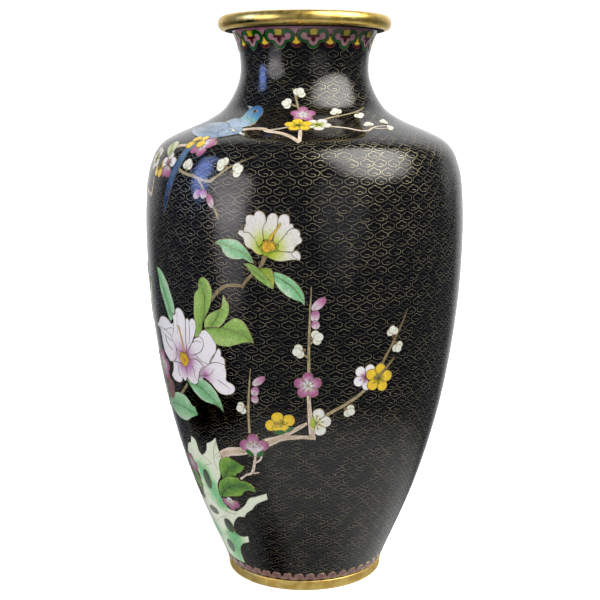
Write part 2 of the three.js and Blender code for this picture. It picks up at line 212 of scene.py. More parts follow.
# ---- Pieces ----
class Piece:
    """One object of the visual model, gathered from closed bodies."""

    def __init__(self, name, slot, *nodes):
        self.name, self.slot, self.nodes = name, slot, nodes
        self.points, self.faces, self.tints, self.marks, self.materials = [], [], [], [], []
        self.total = 0

    def add(self, points, faces, material, tint=0.0):
        if material not in self.materials:
            self.materials.append(material)
        self.points.append(points)
        self.tints.append(np.broadcast_to(tint, len(points)))
        self.faces.extend([tuple(i + self.total for i in face) for face in faces])
        self.marks.extend([self.materials.index(material)] * len(faces))
        self.total += len(points)

    def build(self, crease=45):
        mesh = bpy.data.meshes.new(self.name)
        mesh.from_pydata(np.concatenate(self.points).tolist(), [], self.faces)
        for material in self.materials:
            mesh.materials.append(material)
        mesh.polygons.foreach_set("material_index", self.marks)
        attribute = mesh.attributes.new("tint", "FLOAT", "POINT")
        attribute.data.foreach_set("value", np.concatenate(self.tints).astype(np.float32))
        mesh.shade_smooth()
        mesh.set_sharp_from_angle(angle=math.radians(crease))
        obj = bpy.data.objects.new(self.name, mesh)
        bpy.context.scene.collection.objects.link(obj)
        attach(obj, "root")
        if self.nodes:
            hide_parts(*self.nodes)
        return obj

    def lathe(self, profile, material):
        """Turns a closed profile of (radius, height) points, anticlockwise, round the axis."""
        profile = np.asarray(profile, float)
        angle = np.arange(SEGMENTS) / SEGMENTS * 2 * math.pi
        points, rings = [], []
        for radius, height in profile:
            start = len(points)
            if radius < 1e-6:
                points.append((0, 0, height))
                rings.append([start] * SEGMENTS)
                continue
            ring = np.stack([radius * np.sin(angle), -radius * np.cos(angle),
                             np.full(SEGMENTS, height)], -1)
            points.extend(ring.tolist())
            rings.append(list(range(start, start + SEGMENTS)))
        faces = []
        for lower, upper in zip(rings, rings[1:] + rings[:1]):
            if lower[0] == lower[1] and upper[0] == upper[1]:
                continue
            for i in range(SEGMENTS):
                j = (i + 1) % SEGMENTS
                corners = (lower[i], lower[j], upper[j], upper[i])
                faces.append(tuple(dict.fromkeys(corners)))
        self.add(np.array(points) * MM, faces, material)


covered = []  # outlines of cells in (angle, length), where the ground has no scrolls


class Inlay(Piece):
    """A motif drawn on the wall beside a meridian."""

    def __init__(self, name, slot, meridian, *nodes):
        super().__init__(name, slot, *nodes)
        self.meridian = meridian

    @staticmethod
    def lift(layer):
        """How far a layer's enamel stands above the black coat."""
        return CELL_LIFT + layer * LAYER

    def cell(self, outline, material, tint=0.0, layer=0.0, wired=True, width=WIRE):
        """One enamel cell inside an outline, with a wire round it."""
        angle = math.radians(self.meridian) + outline[:, 0] / section(outline[:, 1])[0]
        covered.append(np.stack([angle, outline[:, 1]], -1))
        low, high = outline.min(0), outline.max(0)
        rows = np.arange(low[1], high[1], CELL_STEP * CELL_ROWS)
        grid = [(x + CELL_STEP / 2 * (k % 2), y) for k, y in enumerate(rows)
                for x in np.arange(low[0], high[0], CELL_STEP)]
        grid = np.array(grid).reshape(-1, 2)
        grid = grid[inside(grid, outline)]
        closed = np.concatenate([outline, outline[:1]])
        if len(grid):
            grid = grid[distance(grid, closed) > CELL_STEP * CELL_MARGIN]
        flat = [Vector(p) for p in np.concatenate([outline, grid])]
        count = len(outline)
        edges = [(i, (i + 1) % count) for i in range(count)]
        points, _, faces = delaunay_2d_cdt(flat, edges, [], 1, 1e-4)[:3]
        points = np.array([tuple(p) for p in points])
        self.slab(points, faces, material, tint, self.lift(layer))
        if wired:
            self.wire(outline, layer, width, closed=True)

    def slab(self, points, faces, material, tint, lift):
        """Closes a flat patch of triangles into a thin slab on the wall."""
        def area(face):
            (ax, ay), (bx, by), (cx, cy) = points[list(face)]
            return (bx - ax) * (cy - ay) - (cx - ax) * (by - ay)
        top = [tuple(f) if area(f) > 0 else tuple(reversed(f)) for f in map(tuple, faces)]
        count = len(points)
        edges = {(a, b) for f in top for a, b in zip(f, f[1:] + f[:1])}
        rim = [(a, b) for a, b in edges if (b, a) not in edges]
        shell = top + [tuple(i + count for i in reversed(f)) for f in top]
        shell += [(b, a, a + count, b + count) for a, b in rim]
        tints = np.asarray(tint(points) if callable(tint) else np.full(count, tint), float)
        places = [on_wall(self.meridian, points, lift), on_wall(self.meridian, points, -CELL_DEPTH)]
        self.add(np.concatenate(places), shell, material, np.concatenate([tints, tints]))

    def wire(self, line, layer=0.0, width=WIRE, closed=False, material=None):
        """A gold wire set on edge along a line, with its crest just above the enamel."""
        line = np.asarray(line, float)
        if closed:
            along = np.roll(line, -1, 0) - np.roll(line, 1, 0)
        else:
            along = np.gradient(line, axis=0)
        along /= np.maximum(np.linalg.norm(along, axis=1), 1e-6)[:, None]
        side = np.stack([-along[:, 1], along[:, 0]], -1) * width / 2
        foot, crest = self.lift(layer) - WIRE_FOOT, self.lift(layer) + WIRE_RISE
        corners = [on_wall(self.meridian, line + side, foot),
                   on_wall(self.meridian, line + side * WIRE_CREST, crest),
                   on_wall(self.meridian, line - side * WIRE_CREST, crest),
                   on_wall(self.meridian, line - side, foot)]
        self.prism(corners, closed, material or gold_wire)

    def prism(self, corners, closed, material):
        """A closed bar through stations, from the lines that its corners follow."""
        sides, count = len(corners), len(corners[0])
        points = np.stack(corners, 1).reshape(-1, 3)
        faces = []
        for i in range(count if closed else count - 1):
            here, there = i * sides, (i + 1) % count * sides
            for k in range(sides):
                n = (k + 1) % sides
                faces.append((here + k, here + n, there + n, there + k))
        if not closed:
            faces.append(tuple(range(sides))[::-1])
            last = (count - 1) * sides
            faces.append(tuple(last + k for k in range(sides)))
        self.add(points, faces, material)


# ---- Materials ----
def linear(color):
    """An sRGB colour of 0 to 255 as linear RGBA."""
    parts = [c / 255 for c in color]
    return (*[c / 12.92 if c <= 0.04045 else ((c + 0.055) / 1.055) ** 2.4 for c in parts], 1)


class Shader:
    """A Principled material and short ways to add nodes to it."""

    def __init__(self, name, **sockets):
        self.material = bpy.data.materials.new(name)
        self.material.use_nodes = True
        self.tree = self.material.node_tree
        self.principled = self.tree.nodes["Principled BSDF"]
        for socket, value in sockets.items():
            self.principled.inputs[socket.replace("_", " ")].default_value = value
        self.coords = self.tree.nodes.new("ShaderNodeTexCoord").outputs["Object"]

    def node(self, kind, links=(), settings=(), **values):
        made = self.tree.nodes.new("ShaderNode" + kind)
        for key, value in dict(settings).items():
            setattr(made, key, value)
        for key, value in values.items():
            made.inputs[key.replace("_", " ")].default_value = value
        for key, output in dict(links).items():
            self.tree.links.new(output, made.inputs[key])
        return made

    def link(self, output, socket):
        self.tree.links.new(output, self.principled.inputs[socket])

    def noise(self, size, detail=3.0, vector=None):
        """A noise of 0 to 1 whose features are about size millimetres."""
        links = {"Vector": vector or self.coords}
        return self.node("TexNoise", links, Scale=1 / (size * MM), Detail=detail).outputs["Fac"]

    def pits(self, size):
        """The distance to the nearest of scattered points, which are about size millimetres apart."""
        links = {"Vector": self.coords}
        return self.node("TexVoronoi", links, Scale=1 / (size * MM)).outputs["Distance"]

    def ranged(self, value, low, high, start=0.3, end=0.7):
        """The value with its stretch from start to end spread over low to high."""
        made = self.node("MapRange", {"Value": value}, From_Min=start, From_Max=end, To_Min=low,
                         To_Max=high)
        return made.outputs["Result"]

    def ramp(self, value, stops):
        made = self.node("ValToRGB", {"Fac": value})
        elements = made.color_ramp.elements
        while len(elements) < len(stops):
            elements.new(0.5)
        for element, (place, color) in zip(elements, stops):
            element.position = place
            element.color = linear(color)
        return made.outputs["Color"]

    def add(self, a, b):
        made = self.node("Math")  # which adds unless it is set to do something else
        for socket, value in zip(made.inputs, (a, b)):
            self.tree.links.new(value, socket)
        return made.outputs["Value"]

    def shade(self, color, factor, darkest):
        """The colour multiplied by a grey that goes from darkest to 1 as factor goes from 0 to 1."""
        grey = self.ramp(factor, [(0, darkest), (1, (255, 255, 255))])
        made = self.node("Mix", settings={"data_type": "RGBA", "blend_type": "MULTIPLY"})
        made.inputs["Factor"].default_value = 1
        self.tree.links.new(color, made.inputs["A"])
        self.tree.links.new(grey, made.inputs["B"])
        return next(o for o in made.outputs if o.type == "RGBA" and o.enabled)

    def bump(self, height, depth):
        """Waves of the surface that are depth millimetres high."""
        made = self.node("Bump", {"Height": height}, Strength=1, Distance=depth * MM)
        self.link(made.outputs["Normal"], "Normal")


def enamel(name, *stops, cloud=0.25, darkest=(205, 205, 205)):
    """Polished vitreous enamel: clouded colour over the cell, pinholes and a faint orange peel.

    A stop is a tint of 0 to 1 and its colour. The darkest grey is what the fine mottling multiplies by.
    """
    made = Shader(f"{name}_enamel", IOR=1.5)
    stops = [(place, color) for place, *color in stops]
    tint = made.node("Attribute", settings={"attribute_name": "tint"}).outputs["Fac"]
    drift = made.ranged(made.noise(5, 4), -cloud, cloud)
    color = made.ramp(made.add(tint, drift), stops)
    color = made.shade(color, made.ranged(made.noise(1.1, 5), 0, 1), darkest)
    color = made.shade(color, made.ranged(made.pits(2.2), 0, 1, 0.05, 0.1), (70, 60, 60))
    made.link(color, "Base Color")
    made.link(made.ranged(made.noise(4, 3), 0.07, 0.15), "Roughness")
    made.bump(made.noise(2.4, 2), 0.012)
    return made.material


def black_glaze():
    """The black ground: near-black with blue-grey clouds, fine pinholes and polishing haze."""
    made = Shader("black_enamel", IOR=1.5)
    color = made.ramp(made.noise(9, 5), [(0.3, (4, 4, 6)), (0.6, (9, 9, 12)), (0.8, (16, 16, 20))])
    color = made.shade(color, made.ranged(made.pits(1.5), 0, 1, 0.04, 0.1), (255, 240, 220))
    made.link(color, "Base Color")
    made.link(made.ranged(made.noise(6, 5), 0.05, 0.1), "Roughness")
    made.bump(made.noise(2.6, 3), 0.012)
    return made.material


def painted_shade_black():
    """Near-black metal, hardly polished: painted shade for the flange out of the light under the bead.
    """
    made = Shader("painted_shade_black", Roughness=0.75, Specular_IOR_Level=0.12)
    made.link(made.ramp(made.noise(2.5, 5), [(0.3, (10, 10, 10)), (0.7, (26, 24, 22))]), "Base Color")
    made.bump(made.noise(0.6, 4), 0.02)
    return made.material


def gold(name, bright, dull, roughness, ring=None, depth=0.004, metal=1.0):
    """Gilt brass with patches of tarnish, and turning marks of ring millimetres where given."""
    made = Shader(name, Metallic=metal)
    patches = made.ranged(made.noise(6, 6), 0, 1, 0.35, 0.65)
    color = made.ramp(patches, [(0.15, dull), (0.75, bright)])
    fine = made.noise(0.5, 4)
    color = made.shade(color, made.ranged(fine, 0, 1, 0.2, 0.5), (214, 206, 190))
    made.link(color, "Base Color")
    made.link(made.ranged(made.noise(3, 5), roughness * 0.75, roughness * 1.3), "Roughness")
    height = fine
    if ring:
        up = made.node("Mapping", {"Vector": made.coords}, Scale=(0.02, 0.02, 1)).outputs["Vector"]
        height = made.noise(ring, 4, up)
    made.bump(height, depth)
    return made.material


black = black_glaze()
# Near-black for the flange under the bead: painted shade
flange_black = painted_shade_black()
gold_wire = gold("gold_wire", (190, 172, 124), (112, 98, 66), 0.42)
ground_gold = gold("ground_wire", (198, 188, 148), (116, 112, 96), 0.42, metal=0.82)
# Dark grey wire for the wing's feathers: its darkness is painted shade along the feather lines
painted_shade_wire = gold("painted_shade_wire", (92, 92, 96), (52, 52, 58), 0.5, metal=0.5)
brass = gold("brass", (254, 222, 128), (240, 200, 100), 0.33, ring=0.35, depth=0.0007)
foot_brass = gold("foot_brass", (252, 220, 126), (234, 192, 98), 0.4, ring=0.35, depth=0.002,
                  metal=0.7)
copper = gold("copper", (200, 130, 95), (140, 80, 55), 0.4, ring=0.8)
lining = enamel("turquoise", (0, 58, 160, 160), (0.6, 84, 186, 182), (1, 110, 200, 195))
white = enamel("white", (0, 158, 186, 30), (0.25, 206, 216, 110), (0.55, 232, 232, 212),
               (1, 236, 232, 230), cloud=0.06, darkest=(228, 228, 230))
cream = enamel("cream", (0, 226, 222, 196), (1, 240, 236, 244), darkest=(225, 225, 225))
bud_white = enamel("bud", (0.1, 226, 230, 172), (0.5, 242, 243, 222), (1, 246, 246, 240), cloud=0.12,
                   darkest=(226, 226, 222))
pink = enamel("pink", (0, 238, 228, 230), (0.4, 228, 200, 214), (0.62, 204, 142, 178),
              (1, 182, 104, 148), cloud=0.08)
yellow = enamel("yellow", (0, 110, 124, 34), (0.25, 218, 196, 54), (0.45, 250, 216, 72),
                (1, 252, 212, 66), cloud=0.08, darkest=(225, 220, 195))
stamen = enamel("stamen", (0, 238, 176, 48), (1, 252, 210, 80))
lilac = enamel("lilac", (0, 152, 80, 140), (0.2, 198, 140, 186), (0.42, 236, 220, 231),
               (0.64, 248, 244, 247), (1, 252, 250, 252), cloud=0.08, darkest=(242, 240, 242))
leaf_green = enamel("leaf", (0, 134, 174, 88), (0.5, 160, 200, 102), (1, 184, 216, 126))
mint = enamel("mint", (0, 138, 203, 144), (0.45, 164, 219, 168), (1, 206, 238, 202), cloud=0.3)
pale_leaf = enamel("pale_leaf", (0, 150, 180, 92), (0.6, 206, 216, 160), (1, 226, 232, 200))
olive = enamel("olive", (0, 150, 176, 70), (1, 188, 200, 100))
lobed = enamel("lobed_leaf", (0, 80, 136, 62), (0.5, 118, 170, 68), (1, 150, 194, 84))
sepal = enamel("sepal", (0, 44, 104, 56), (1, 84, 146, 84))
bark = enamel("bark", (0, 206, 184, 156), (0.5, 242, 222, 200), (1, 250, 236, 220),
              darkest=(228, 224, 220))
twig = enamel("twig", (0, 152, 136, 98), (1, 206, 188, 150))
stem = enamel("stem", (0, 128, 112, 78), (1, 172, 152, 112))
bird_blue = enamel("blue", (0, 70, 118, 178), (0.4, 96, 154, 192), (0.55, 132, 192, 192),
                   (0.75, 150, 182, 204), (1, 160, 188, 212), cloud=0.1)
wing_blue = enamel("wing", (0, 118, 148, 186), (0.5, 150, 176, 200), (1, 176, 192, 204))
tail_blue = enamel("tail", (0, 30, 52, 100), (0.5, 66, 106, 158), (1, 124, 160, 192))
rock_green = enamel("rock", (0, 128, 206, 142), (0.35, 170, 226, 166), (0.65, 228, 246, 208),
                    (1, 248, 254, 230), cloud=0.2, darkest=(232, 234, 230))
rock_hole = enamel("rock_hole", (0, 44, 66, 44), (1, 78, 104, 72))
ruyi_green = enamel("ruyi", (0, 26, 74, 34), (1, 48, 106, 56))
mauve = enamel("mauve", (0, 156, 108, 122), (1, 192, 144, 156))
maroon = enamel("maroon", (0, 62, 14, 20), (1, 98, 24, 34))
dusty_rose = enamel("dusty_rose", (0, 140, 100, 96), (1, 186, 142, 134))
tan = enamel("tan", (0, 166, 126, 100), (1, 194, 154, 126))
pupil = enamel("pupil", (0, 14, 14, 18), (1, 30, 30, 36))
earth = enamel("earth", (0, 40, 26, 24), (1, 66, 42, 36))


# ---- Shells: copper, linings, black coat and metal rings ----
def wall_profile(outer, inner, start, end):
    """A closed profile of the wall between two depths and two lengths."""
    sides = []
    for depth, step in ((outer, ROW_STEP), (inner, INNER_ROW_STEP)):
        lengths = np.linspace(start, end, max(2, round((end - start) / step)))
        radius, height, out_r, out_z = section(lengths)
        sides.append(np.stack([radius - out_r * depth, height - out_z * depth], -1))
    return np.concatenate([sides[0], sides[1][::-1]])


def plate(radius, bottom, thickness, edge=0.2):
    """The profile of a flat disc with an eased edge."""
    top = bottom + thickness
    return [(0, bottom), (radius - edge, bottom), (radius, bottom + edge), (radius, top - edge),
            (radius - edge, top), (0, top)]


def copper_shell():
    """The copper body: four spun sections and the plate of the base."""
    depth = ENAMEL + GAP
    parts = {
        "copper_lower_body": (0, LOWER_JOINT),
        "copper_upper_body": (LOWER_JOINT + GAP, SHOULDER_JOINT),
        "copper_shoulder": (SHOULDER_JOINT + GAP, NECK_JOINT),
        "copper_neck": (NECK_JOINT + GAP, WALL_LENGTH),
    }
    for node, (start, end) in parts.items():
        piece = Piece(node.replace("copper", "spun_copper"), "copper", node)
        piece.lathe(wall_profile(depth, depth + COPPER, start, end), copper)
        piece.build()
    piece = Piece("spun_copper_base", "copper", "copper_base_plate")
    low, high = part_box("copper_base_plate")
    piece.lathe(plate(high.x / MM, low.z / MM, COPPER), copper)
    piece.build()


def linings():
    """Turquoise enamel: the cup inside and the dished disc under the base."""
    piece = Piece("turquoise_lining", "turquoise_enamel", "interior_enamel")
    depth = ENAMEL + GAP + COPPER + GAP
    floor = FOOT_HEIGHT + GAP + COPPER + GAP
    walls = wall_profile(depth, depth + LINING, FOOT_BAND_TOP, WALL_LENGTH)
    corner = walls[0][0] - 2
    middle = [(corner - LINING, floor + LINING), (0, floor + LINING), (0, floor), (corner, floor)]
    piece.lathe(np.concatenate([walls, middle]), lining)
    piece.build()
    piece = Piece("turquoise_base", "turquoise_enamel", "base_enamel")
    low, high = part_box("base_enamel")
    piece.lathe(plate(high.x / MM, low.z / MM, LINING, 0.15), lining)
    piece.build()


def oval_arc(x, y, wide, tall, angles):
    """Points of an oval's outline at angles in degrees."""
    return [(x + wide * math.cos(t), y + tall * math.sin(t)) for t in np.radians(angles)]


def foot_ring():
    """A turned brass band with rolled edges, a little narrower at the floor."""
    piece = Piece("brass_foot", "brass", "foot_ring")
    roll, lean, ease, lap = 0.9, 0.5, 0.5, 0.3
    outside = oval_arc(FOOT_RADIUS - lean - roll, roll, roll, roll, range(-90, 1, 15))
    top = oval_arc(FOOT_RADIUS - ease, FOOT_HEIGHT + lap - ease, ease, ease, range(0, 91, 30))
    inside_edge = [(FOOT_INNER, FOOT_HEIGHT + lap), (FOOT_INNER, 0.4), (FOOT_INNER + 0.4, 0)]
    piece.lathe(outside + top + inside_edge, foot_brass)
    piece.build(crease=60)


def rim_ring():
    """The rolled brass bead round the mouth, with its seat on the neck."""
    piece = Piece("brass_rim", "brass", "rim_ring")
    centre, height, wide, tall = 43, 301.3, 3.2, 3.7
    bore, seat_edge, seat_height = 36.3, 39.6, 299.8
    bead = oval_arc(centre, height, wide, tall, range(-150, 146, 7))
    mouth = smooth_line([(40.4, 303.2), (38.8, 302.9), (37.2, 302.3), (bore, 301.2)], 0.4)
    seat = [(bore, seat_height), (seat_edge, seat_height)]
    piece.lathe(np.concatenate([bead, mouth, seat]), brass)
    piece.build(crease=60)


def under_rim():
    """The thin flange that the brass bead sits on, near-black as painted shade under the bead."""
    piece = Piece("black_flange", "black_enamel")
    inner, outer, bottom, top = 38.3, 42.1, 297.3, 297.6
    edge = (42.5, 297.45)
    piece.lathe([(inner, top), (inner, bottom), (outer, bottom), edge, (outer, top)], flange_black)
    piece.build()


def black_coat():
    """The black enamel of the whole wall, which the motifs are set into."""
    piece = Piece("black_ground", "black_enamel", "black_ground_enamel")
    piece.lathe(wall_profile(0, ENAMEL, FOOT_BAND_TOP, COLLAR_BOTTOM), black)
    piece.build()


# ---- Borders ----
def foot_border():
    """Rose scallops over a tan edge, round the foot."""
    piece = Inlay("foot_border", "border_enamel", 0, "foot_band")
    piece.lathe(wall_profile(0, ENAMEL, 0, FOOT_BAND_TOP), earth)
    half = 2 * math.pi * section(3)[0] / SCALLOPS / 2
    scallop = loop([(-2.3, 2.0), (-2.45, 3.4), (-1.9, 4.7), (0, 5.4), (1.9, 4.7), (2.45, 3.4),
                    (2.3, 2.0), (0, 1.2)], 0.6)
    for k in range(SCALLOPS):
        piece.meridian = (k + 0.5) * 360 / SCALLOPS
        piece.cell(scallop, dusty_rose, spread(0, 3, 0.5, 3), layer=1, width=0.26)
        outline = shape(
            [(half - 2.2, 0.7), (half, 0.6)], [(half + 2.2, 0.7), (half + 0.7, 2.0)],
            [(half, 3.0), (half - 0.7, 2.0)], step=0.6)
        piece.cell(outline, tan, 0.6, width=0.22)
    piece.build()


def ruyi_head(piece):
    """One cloud-shaped head of the collar, drawn about x 0."""
    trefoil = [(0, 311.6), (-2.2, 312.6), (-3.6, 314.9), (-6.2, 315.4), (-8, 317.2), (-7.9, 319.7),
               (-6.2, 321.7), (-4, 322.2), (-2.2, 321.6), (-1.7, 320.9)]
    piece.cell(loop(mirrored(trefoil), 0.7), ruyi_green, 0.5, layer=1, width=0.3)
    lobes = [(0, 313.4), (-1.6, 314.2), (-2.9, 316.2), (-5.2, 316.6), (-6.3, 318), (-5.7, 319.7),
             (-4.2, 320), (-3.3, 319.2), (-2.0, 318.2)]
    piece.cell(loop(mirrored(lobes), 0.6), mauve, 0.8, layer=2, width=0.22)
    outline = shape(
        [(-1.2, 317.5), (-1.0, 316.2), (0, 314.9), (1.0, 316.2)], [(1.2, 317.5)], [(3.2, 317.5)],
        [(3.0, 318.8)], [(-3.0, 318.8)], [(-3.2, 317.5)], step=0.6)
    piece.cell(outline, maroon, 0.5, layer=3, width=0.22)
    outline = shape(
        [(-1.6, 318.9)], [(1.6, 318.9)], [(2.0, 321.6), (0, 322.1)], [(-2.0, 321.6)], step=0.6)
    piece.cell(outline, yellow, 0.2, layer=3, width=0.22)


def ruyi_gap(piece, x):
    """What lies between two heads: a yellow flame on a maroon crescent, and a mauve drop."""
    outline = shape(
        [(x - 3.2, 314.9), (x, 313.9)],
        [(x + 3.2, 314.9), (x + 1.9, 312.9), (x, 312.3), (x - 1.9, 312.9)], step=0.6)
    piece.cell(outline, maroon, 0.8, layer=2, width=0.22)
    outline = shape(
        [(x - 2.2, 315.0), (x, 314.1)], [(x + 2.2, 315.0), (x + 0.8, 316.4)],
        [(x, 318.6), (x - 0.8, 316.4)], step=0.6)
    piece.cell(outline, yellow, 0.9, layer=3, width=0.22)
    outline = shape(
        [(x - 4.4, 322.2)], [(x + 4.4, 322.2), (x + 1.8, 321.4)], [(x, 319), (x - 1.8, 321.4)],
        step=0.6)
    piece.cell(outline, mauve, 0.5, layer=0.5, wired=False)


def collar_border():
    """Ruyi heads round the neck, with a mauve edge above them."""
    piece = Inlay("collar_border", "border_enamel", 0, "collar_band")
    piece.lathe(wall_profile(0, ENAMEL, COLLAR_BOTTOM, COLLAR_TOP), black)
    piece.lathe(wall_profile(0, ENAMEL, COLLAR_TOP, WALL_LENGTH), mauve)
    half_pitch = math.pi * section(317)[0] / HEADS
    for k in range(HEADS):
        piece.meridian = FIRST_HEAD + k * 360 / HEADS
        ruyi_head(piece)
        ruyi_gap(piece, half_pitch)
    piece.build()


# ---- Parts of motifs ----
PETAL_WIRE = 0.34
STAMEN_WIRE = 0.26
STAMEN_LENGTHS = (0.46, 0.36)  # in turn, as shares of the blossom's radius
STAMEN_FAN = 150  # degrees that the stamens spread over where petals are left out
ANTHER = 0.36  # radius of a stamen's tip
BUD_WIRE = 0.22
LIMB_WIRE = 0.26
MARK_PLACES = (-0.4, 0.35)  # marks of bark in turn, as shares of the way to a limb's edge
RIB_WIRE = 0.5
VEIN_WIRE = 0.28
VEIN_ANGLE = 48  # degrees between the midrib and a side vein


def motif(node, slot, meridian):
    """An inlay that stands for the CAD node of its name."""
    return Inlay(f"inlay_{node}", slot, meridian, node)


def single(draw, node, slot, meridian, *drawing, **style):
    """A motif that is one blossom or one leaf."""
    piece = motif(node, slot, meridian)
    draw(piece, *drawing, **style)
    piece.build()


def wires(piece, lines, layer, width, material=None):
    """Single wires along smooth lines, for creases, folds and feathers."""
    for points in lines:
        piece.wire(smooth_line(points), layer, width, material=material)


def petal(x, y, angle, reach, half_angle):
    """A petal from the flower's middle: two straight sides and a round end."""
    lobe, out = 0.38, 0.6
    turns = np.radians(np.linspace(-half_angle, half_angle, 12))
    reaches = out * np.cos(turns) + np.sqrt(np.maximum(lobe**2 - (out * np.sin(turns)) ** 2, 0))
    turns = turns + math.radians(angle)
    arc = np.stack([reaches * np.cos(turns), reaches * np.sin(turns)], -1) * reach
    middle = np.array([[0, 0]])
    sides = [smooth_line(np.concatenate(pair), 1.0)[1:-1]
             for pair in ((middle, arc[:1]), (arc[-1:], middle))]
    return np.concatenate([middle, sides[0], arc, sides[1]]) + (x, y)


def blossom(piece, x, y, radius, enamel_, facing=90, angles=None, half_angle=36, layer=2, inner=None,
            stamens=7):
    """A plum blossom seen from the front, or from the side where angles leaves petals out."""
    angles = angles or [facing + 72 * k for k in range(5)]
    blush = spread(x, y, radius * 0.1, radius * 0.85)
    for angle in angles:
        piece.cell(petal(x, y, angle, radius, half_angle), enamel_, blush, layer, width=PETAL_WIRE)
    if inner:
        piece.cell(disc(x, y, radius * 0.3), inner, spread(x, y, 0, radius * 0.35), layer + 1, False)
    centre = math.radians(np.mean(angles)) if len(angles) < 5 else None
    for k in range(stamens):
        if centre is None:
            turn = math.radians(facing + 36) + 2 * math.pi * k / stamens
        else:
            turn = centre + math.radians(STAMEN_FAN) * (k / (stamens - 1) - 0.5)
        length = radius * STAMEN_LENGTHS[k % 2]
        way = np.array([math.cos(turn), math.sin(turn)])
        line = np.array([x, y]) + np.outer(np.linspace(0.08, 1, 4) * length, way)
        piece.wire(line, layer + 1.2, STAMEN_WIRE)
        piece.cell(disc(*line[-1], ANTHER), stamen, 0.8, layer + 1, width=0.2)


def bud(piece, x, y, size, angle):
    """A round white bud of three petals on a small calyx, opening towards angle."""
    way = toward(angle)
    side = np.array([-way[1], way[0]])
    calyx = np.array([x, y]) - way * size * 0.8
    piece.cell(disc(*calyx, size * 0.24, 0.8, angle), stem, 0.5, 1, width=0.2)
    for way_out in (-1, 1):
        place = np.array([x, y]) + side * way_out * size * 0.45 - way * size * 0.05
        glow = spread(*place, -size * 0.3, size)
        piece.cell(disc(*place, size * 0.62), bud_white, glow, 2, width=BUD_WIRE)
    crown = x + way[0] * size * 0.3, y + way[1] * size * 0.3
    glow = spread(*crown, -size * 0.5, size * 0.8)
    piece.cell(disc(*crown, size * 0.66, 0.95, angle), bud_white, glow, 3, width=BUD_WIRE)


def closed_bud(piece, x, y, size, slim, angle, layer=2):
    """One folded pink petal that shows as an oval with a crease."""
    place, reach = np.array([x, y]), size * toward(angle)
    piece.cell(disc(x, y, size, slim, angle), pink, across(place - reach, place + reach), layer,
               width=0.24)
    piece.wire(np.outer(np.linspace(-0.8, 0.1, 4) * size, toward(angle)) + place, layer, 0.2)


def limb(piece, stations, layer=0, enamel_=None, marks=0, tint=None):
    """A branch through (x, y, width) stations, with marks of bark along it."""
    line = smooth_line(stations, 1.0)
    along = np.gradient(line[:, :2], axis=0)
    along /= np.linalg.norm(along, axis=1)[:, None]
    side = np.stack([-along[:, 1], along[:, 0]], -1) * line[:, 2:] / 2
    outline = np.concatenate([line[:, :2] - side, (line[:, :2] + side)[::-1]])
    middle = line[:, :2]
    tint = tint or beside(middle, line[:, 2].max() / 2)
    piece.cell(outline, enamel_ or bark, tint, layer, width=LIMB_WIRE)
    for k in range(marks):
        at = round((k + 0.6) / marks * (len(line) - 3))
        span = middle[at : at + 4] + side[at : at + 4] * MARK_PLACES[k % 2]
        if len(span) > 2:
            piece.wire(span, layer, LIMB_WIRE)


def leaf(piece, outline, enamel_, rib, layer=1, reach=6, veins=0):
    """A leaf with a midrib and, where asked for, side veins."""
    rib = smooth_line(rib, 1.0)
    piece.cell(outline, enamel_, beside(rib, reach), layer)
    piece.wire(rib, layer, RIB_WIRE)
    for k in range(veins):
        at = round((k + 0.7) / (veins + 0.4) * (len(rib) - 2))
        forward = rib[min(at + 1, len(rib) - 1)] - rib[at]
        forward /= np.linalg.norm(forward)
        for turn in (-VEIN_ANGLE, VEIN_ANGLE):
            c, s = toward(turn)
            way = np.array([forward[0] * c - forward[1] * s, forward[0] * s + forward[1] * c])
            line = rib[at] + np.outer(np.linspace(0, reach, 12), way)
            line = line[inside(line, outline)][:-1]
            if len(line) > 2:
                piece.wire(line, layer, VEIN_WIRE)


# ---- Bird and neck flowers ----
def bird():
    """The long-tailed bird: its body, head and beak, then the wing and the tail."""
    piece = motif("bird_body", "blue_enamel", -40)
    beak = shape(
        [(0.8, 278.3), (-1, 279.8)], [(-3, 281.6), (-0.6, 281.2)], [(1.8, 280.7), (1.2, 279.5)])
    piece.cell(beak, wing_blue, 1, layer=2, width=0.3)
    body = shape(
        [(0, 278), (1.6, 280.4), (4, 281.4), (7, 280.4), (9.6, 277.8), (11, 273.6), (11.8, 270),
         (12.8, 266), (12.2, 262.4)],
        [(10, 260), (6, 259.4), (2.6, 260), (0, 262.2), (-3, 264.6)],
        [(-7, 266.4), (-6.6, 268.6), (-4.6, 270.4), (-2, 270.9)],
        [(0, 270), (0.2, 272.6), (-0.2, 275.4)])
    piece.cell(body, bird_blue, across((9, 277.5), (2, 266)), layer=3)
    piece.cell(disc(5, 277.2, 1.6, 0.8), cream, 0.5, layer=4, width=0.26)
    piece.cell(disc(5, 277.2, 1.05, 0.9), pupil, 0.2, layer=5, width=0.2)
    feathers = [[(0, 270), (1.6, 268), (4.4, 266.6)], [(8, 272), (9, 268), (11.4, 265.6)],
                [(3, 273), (5, 270.6), (7.6, 269.6)]]
    wires(piece, feathers, 3, 0.3)
    piece.build()
    bird_wing()
    bird_tail()


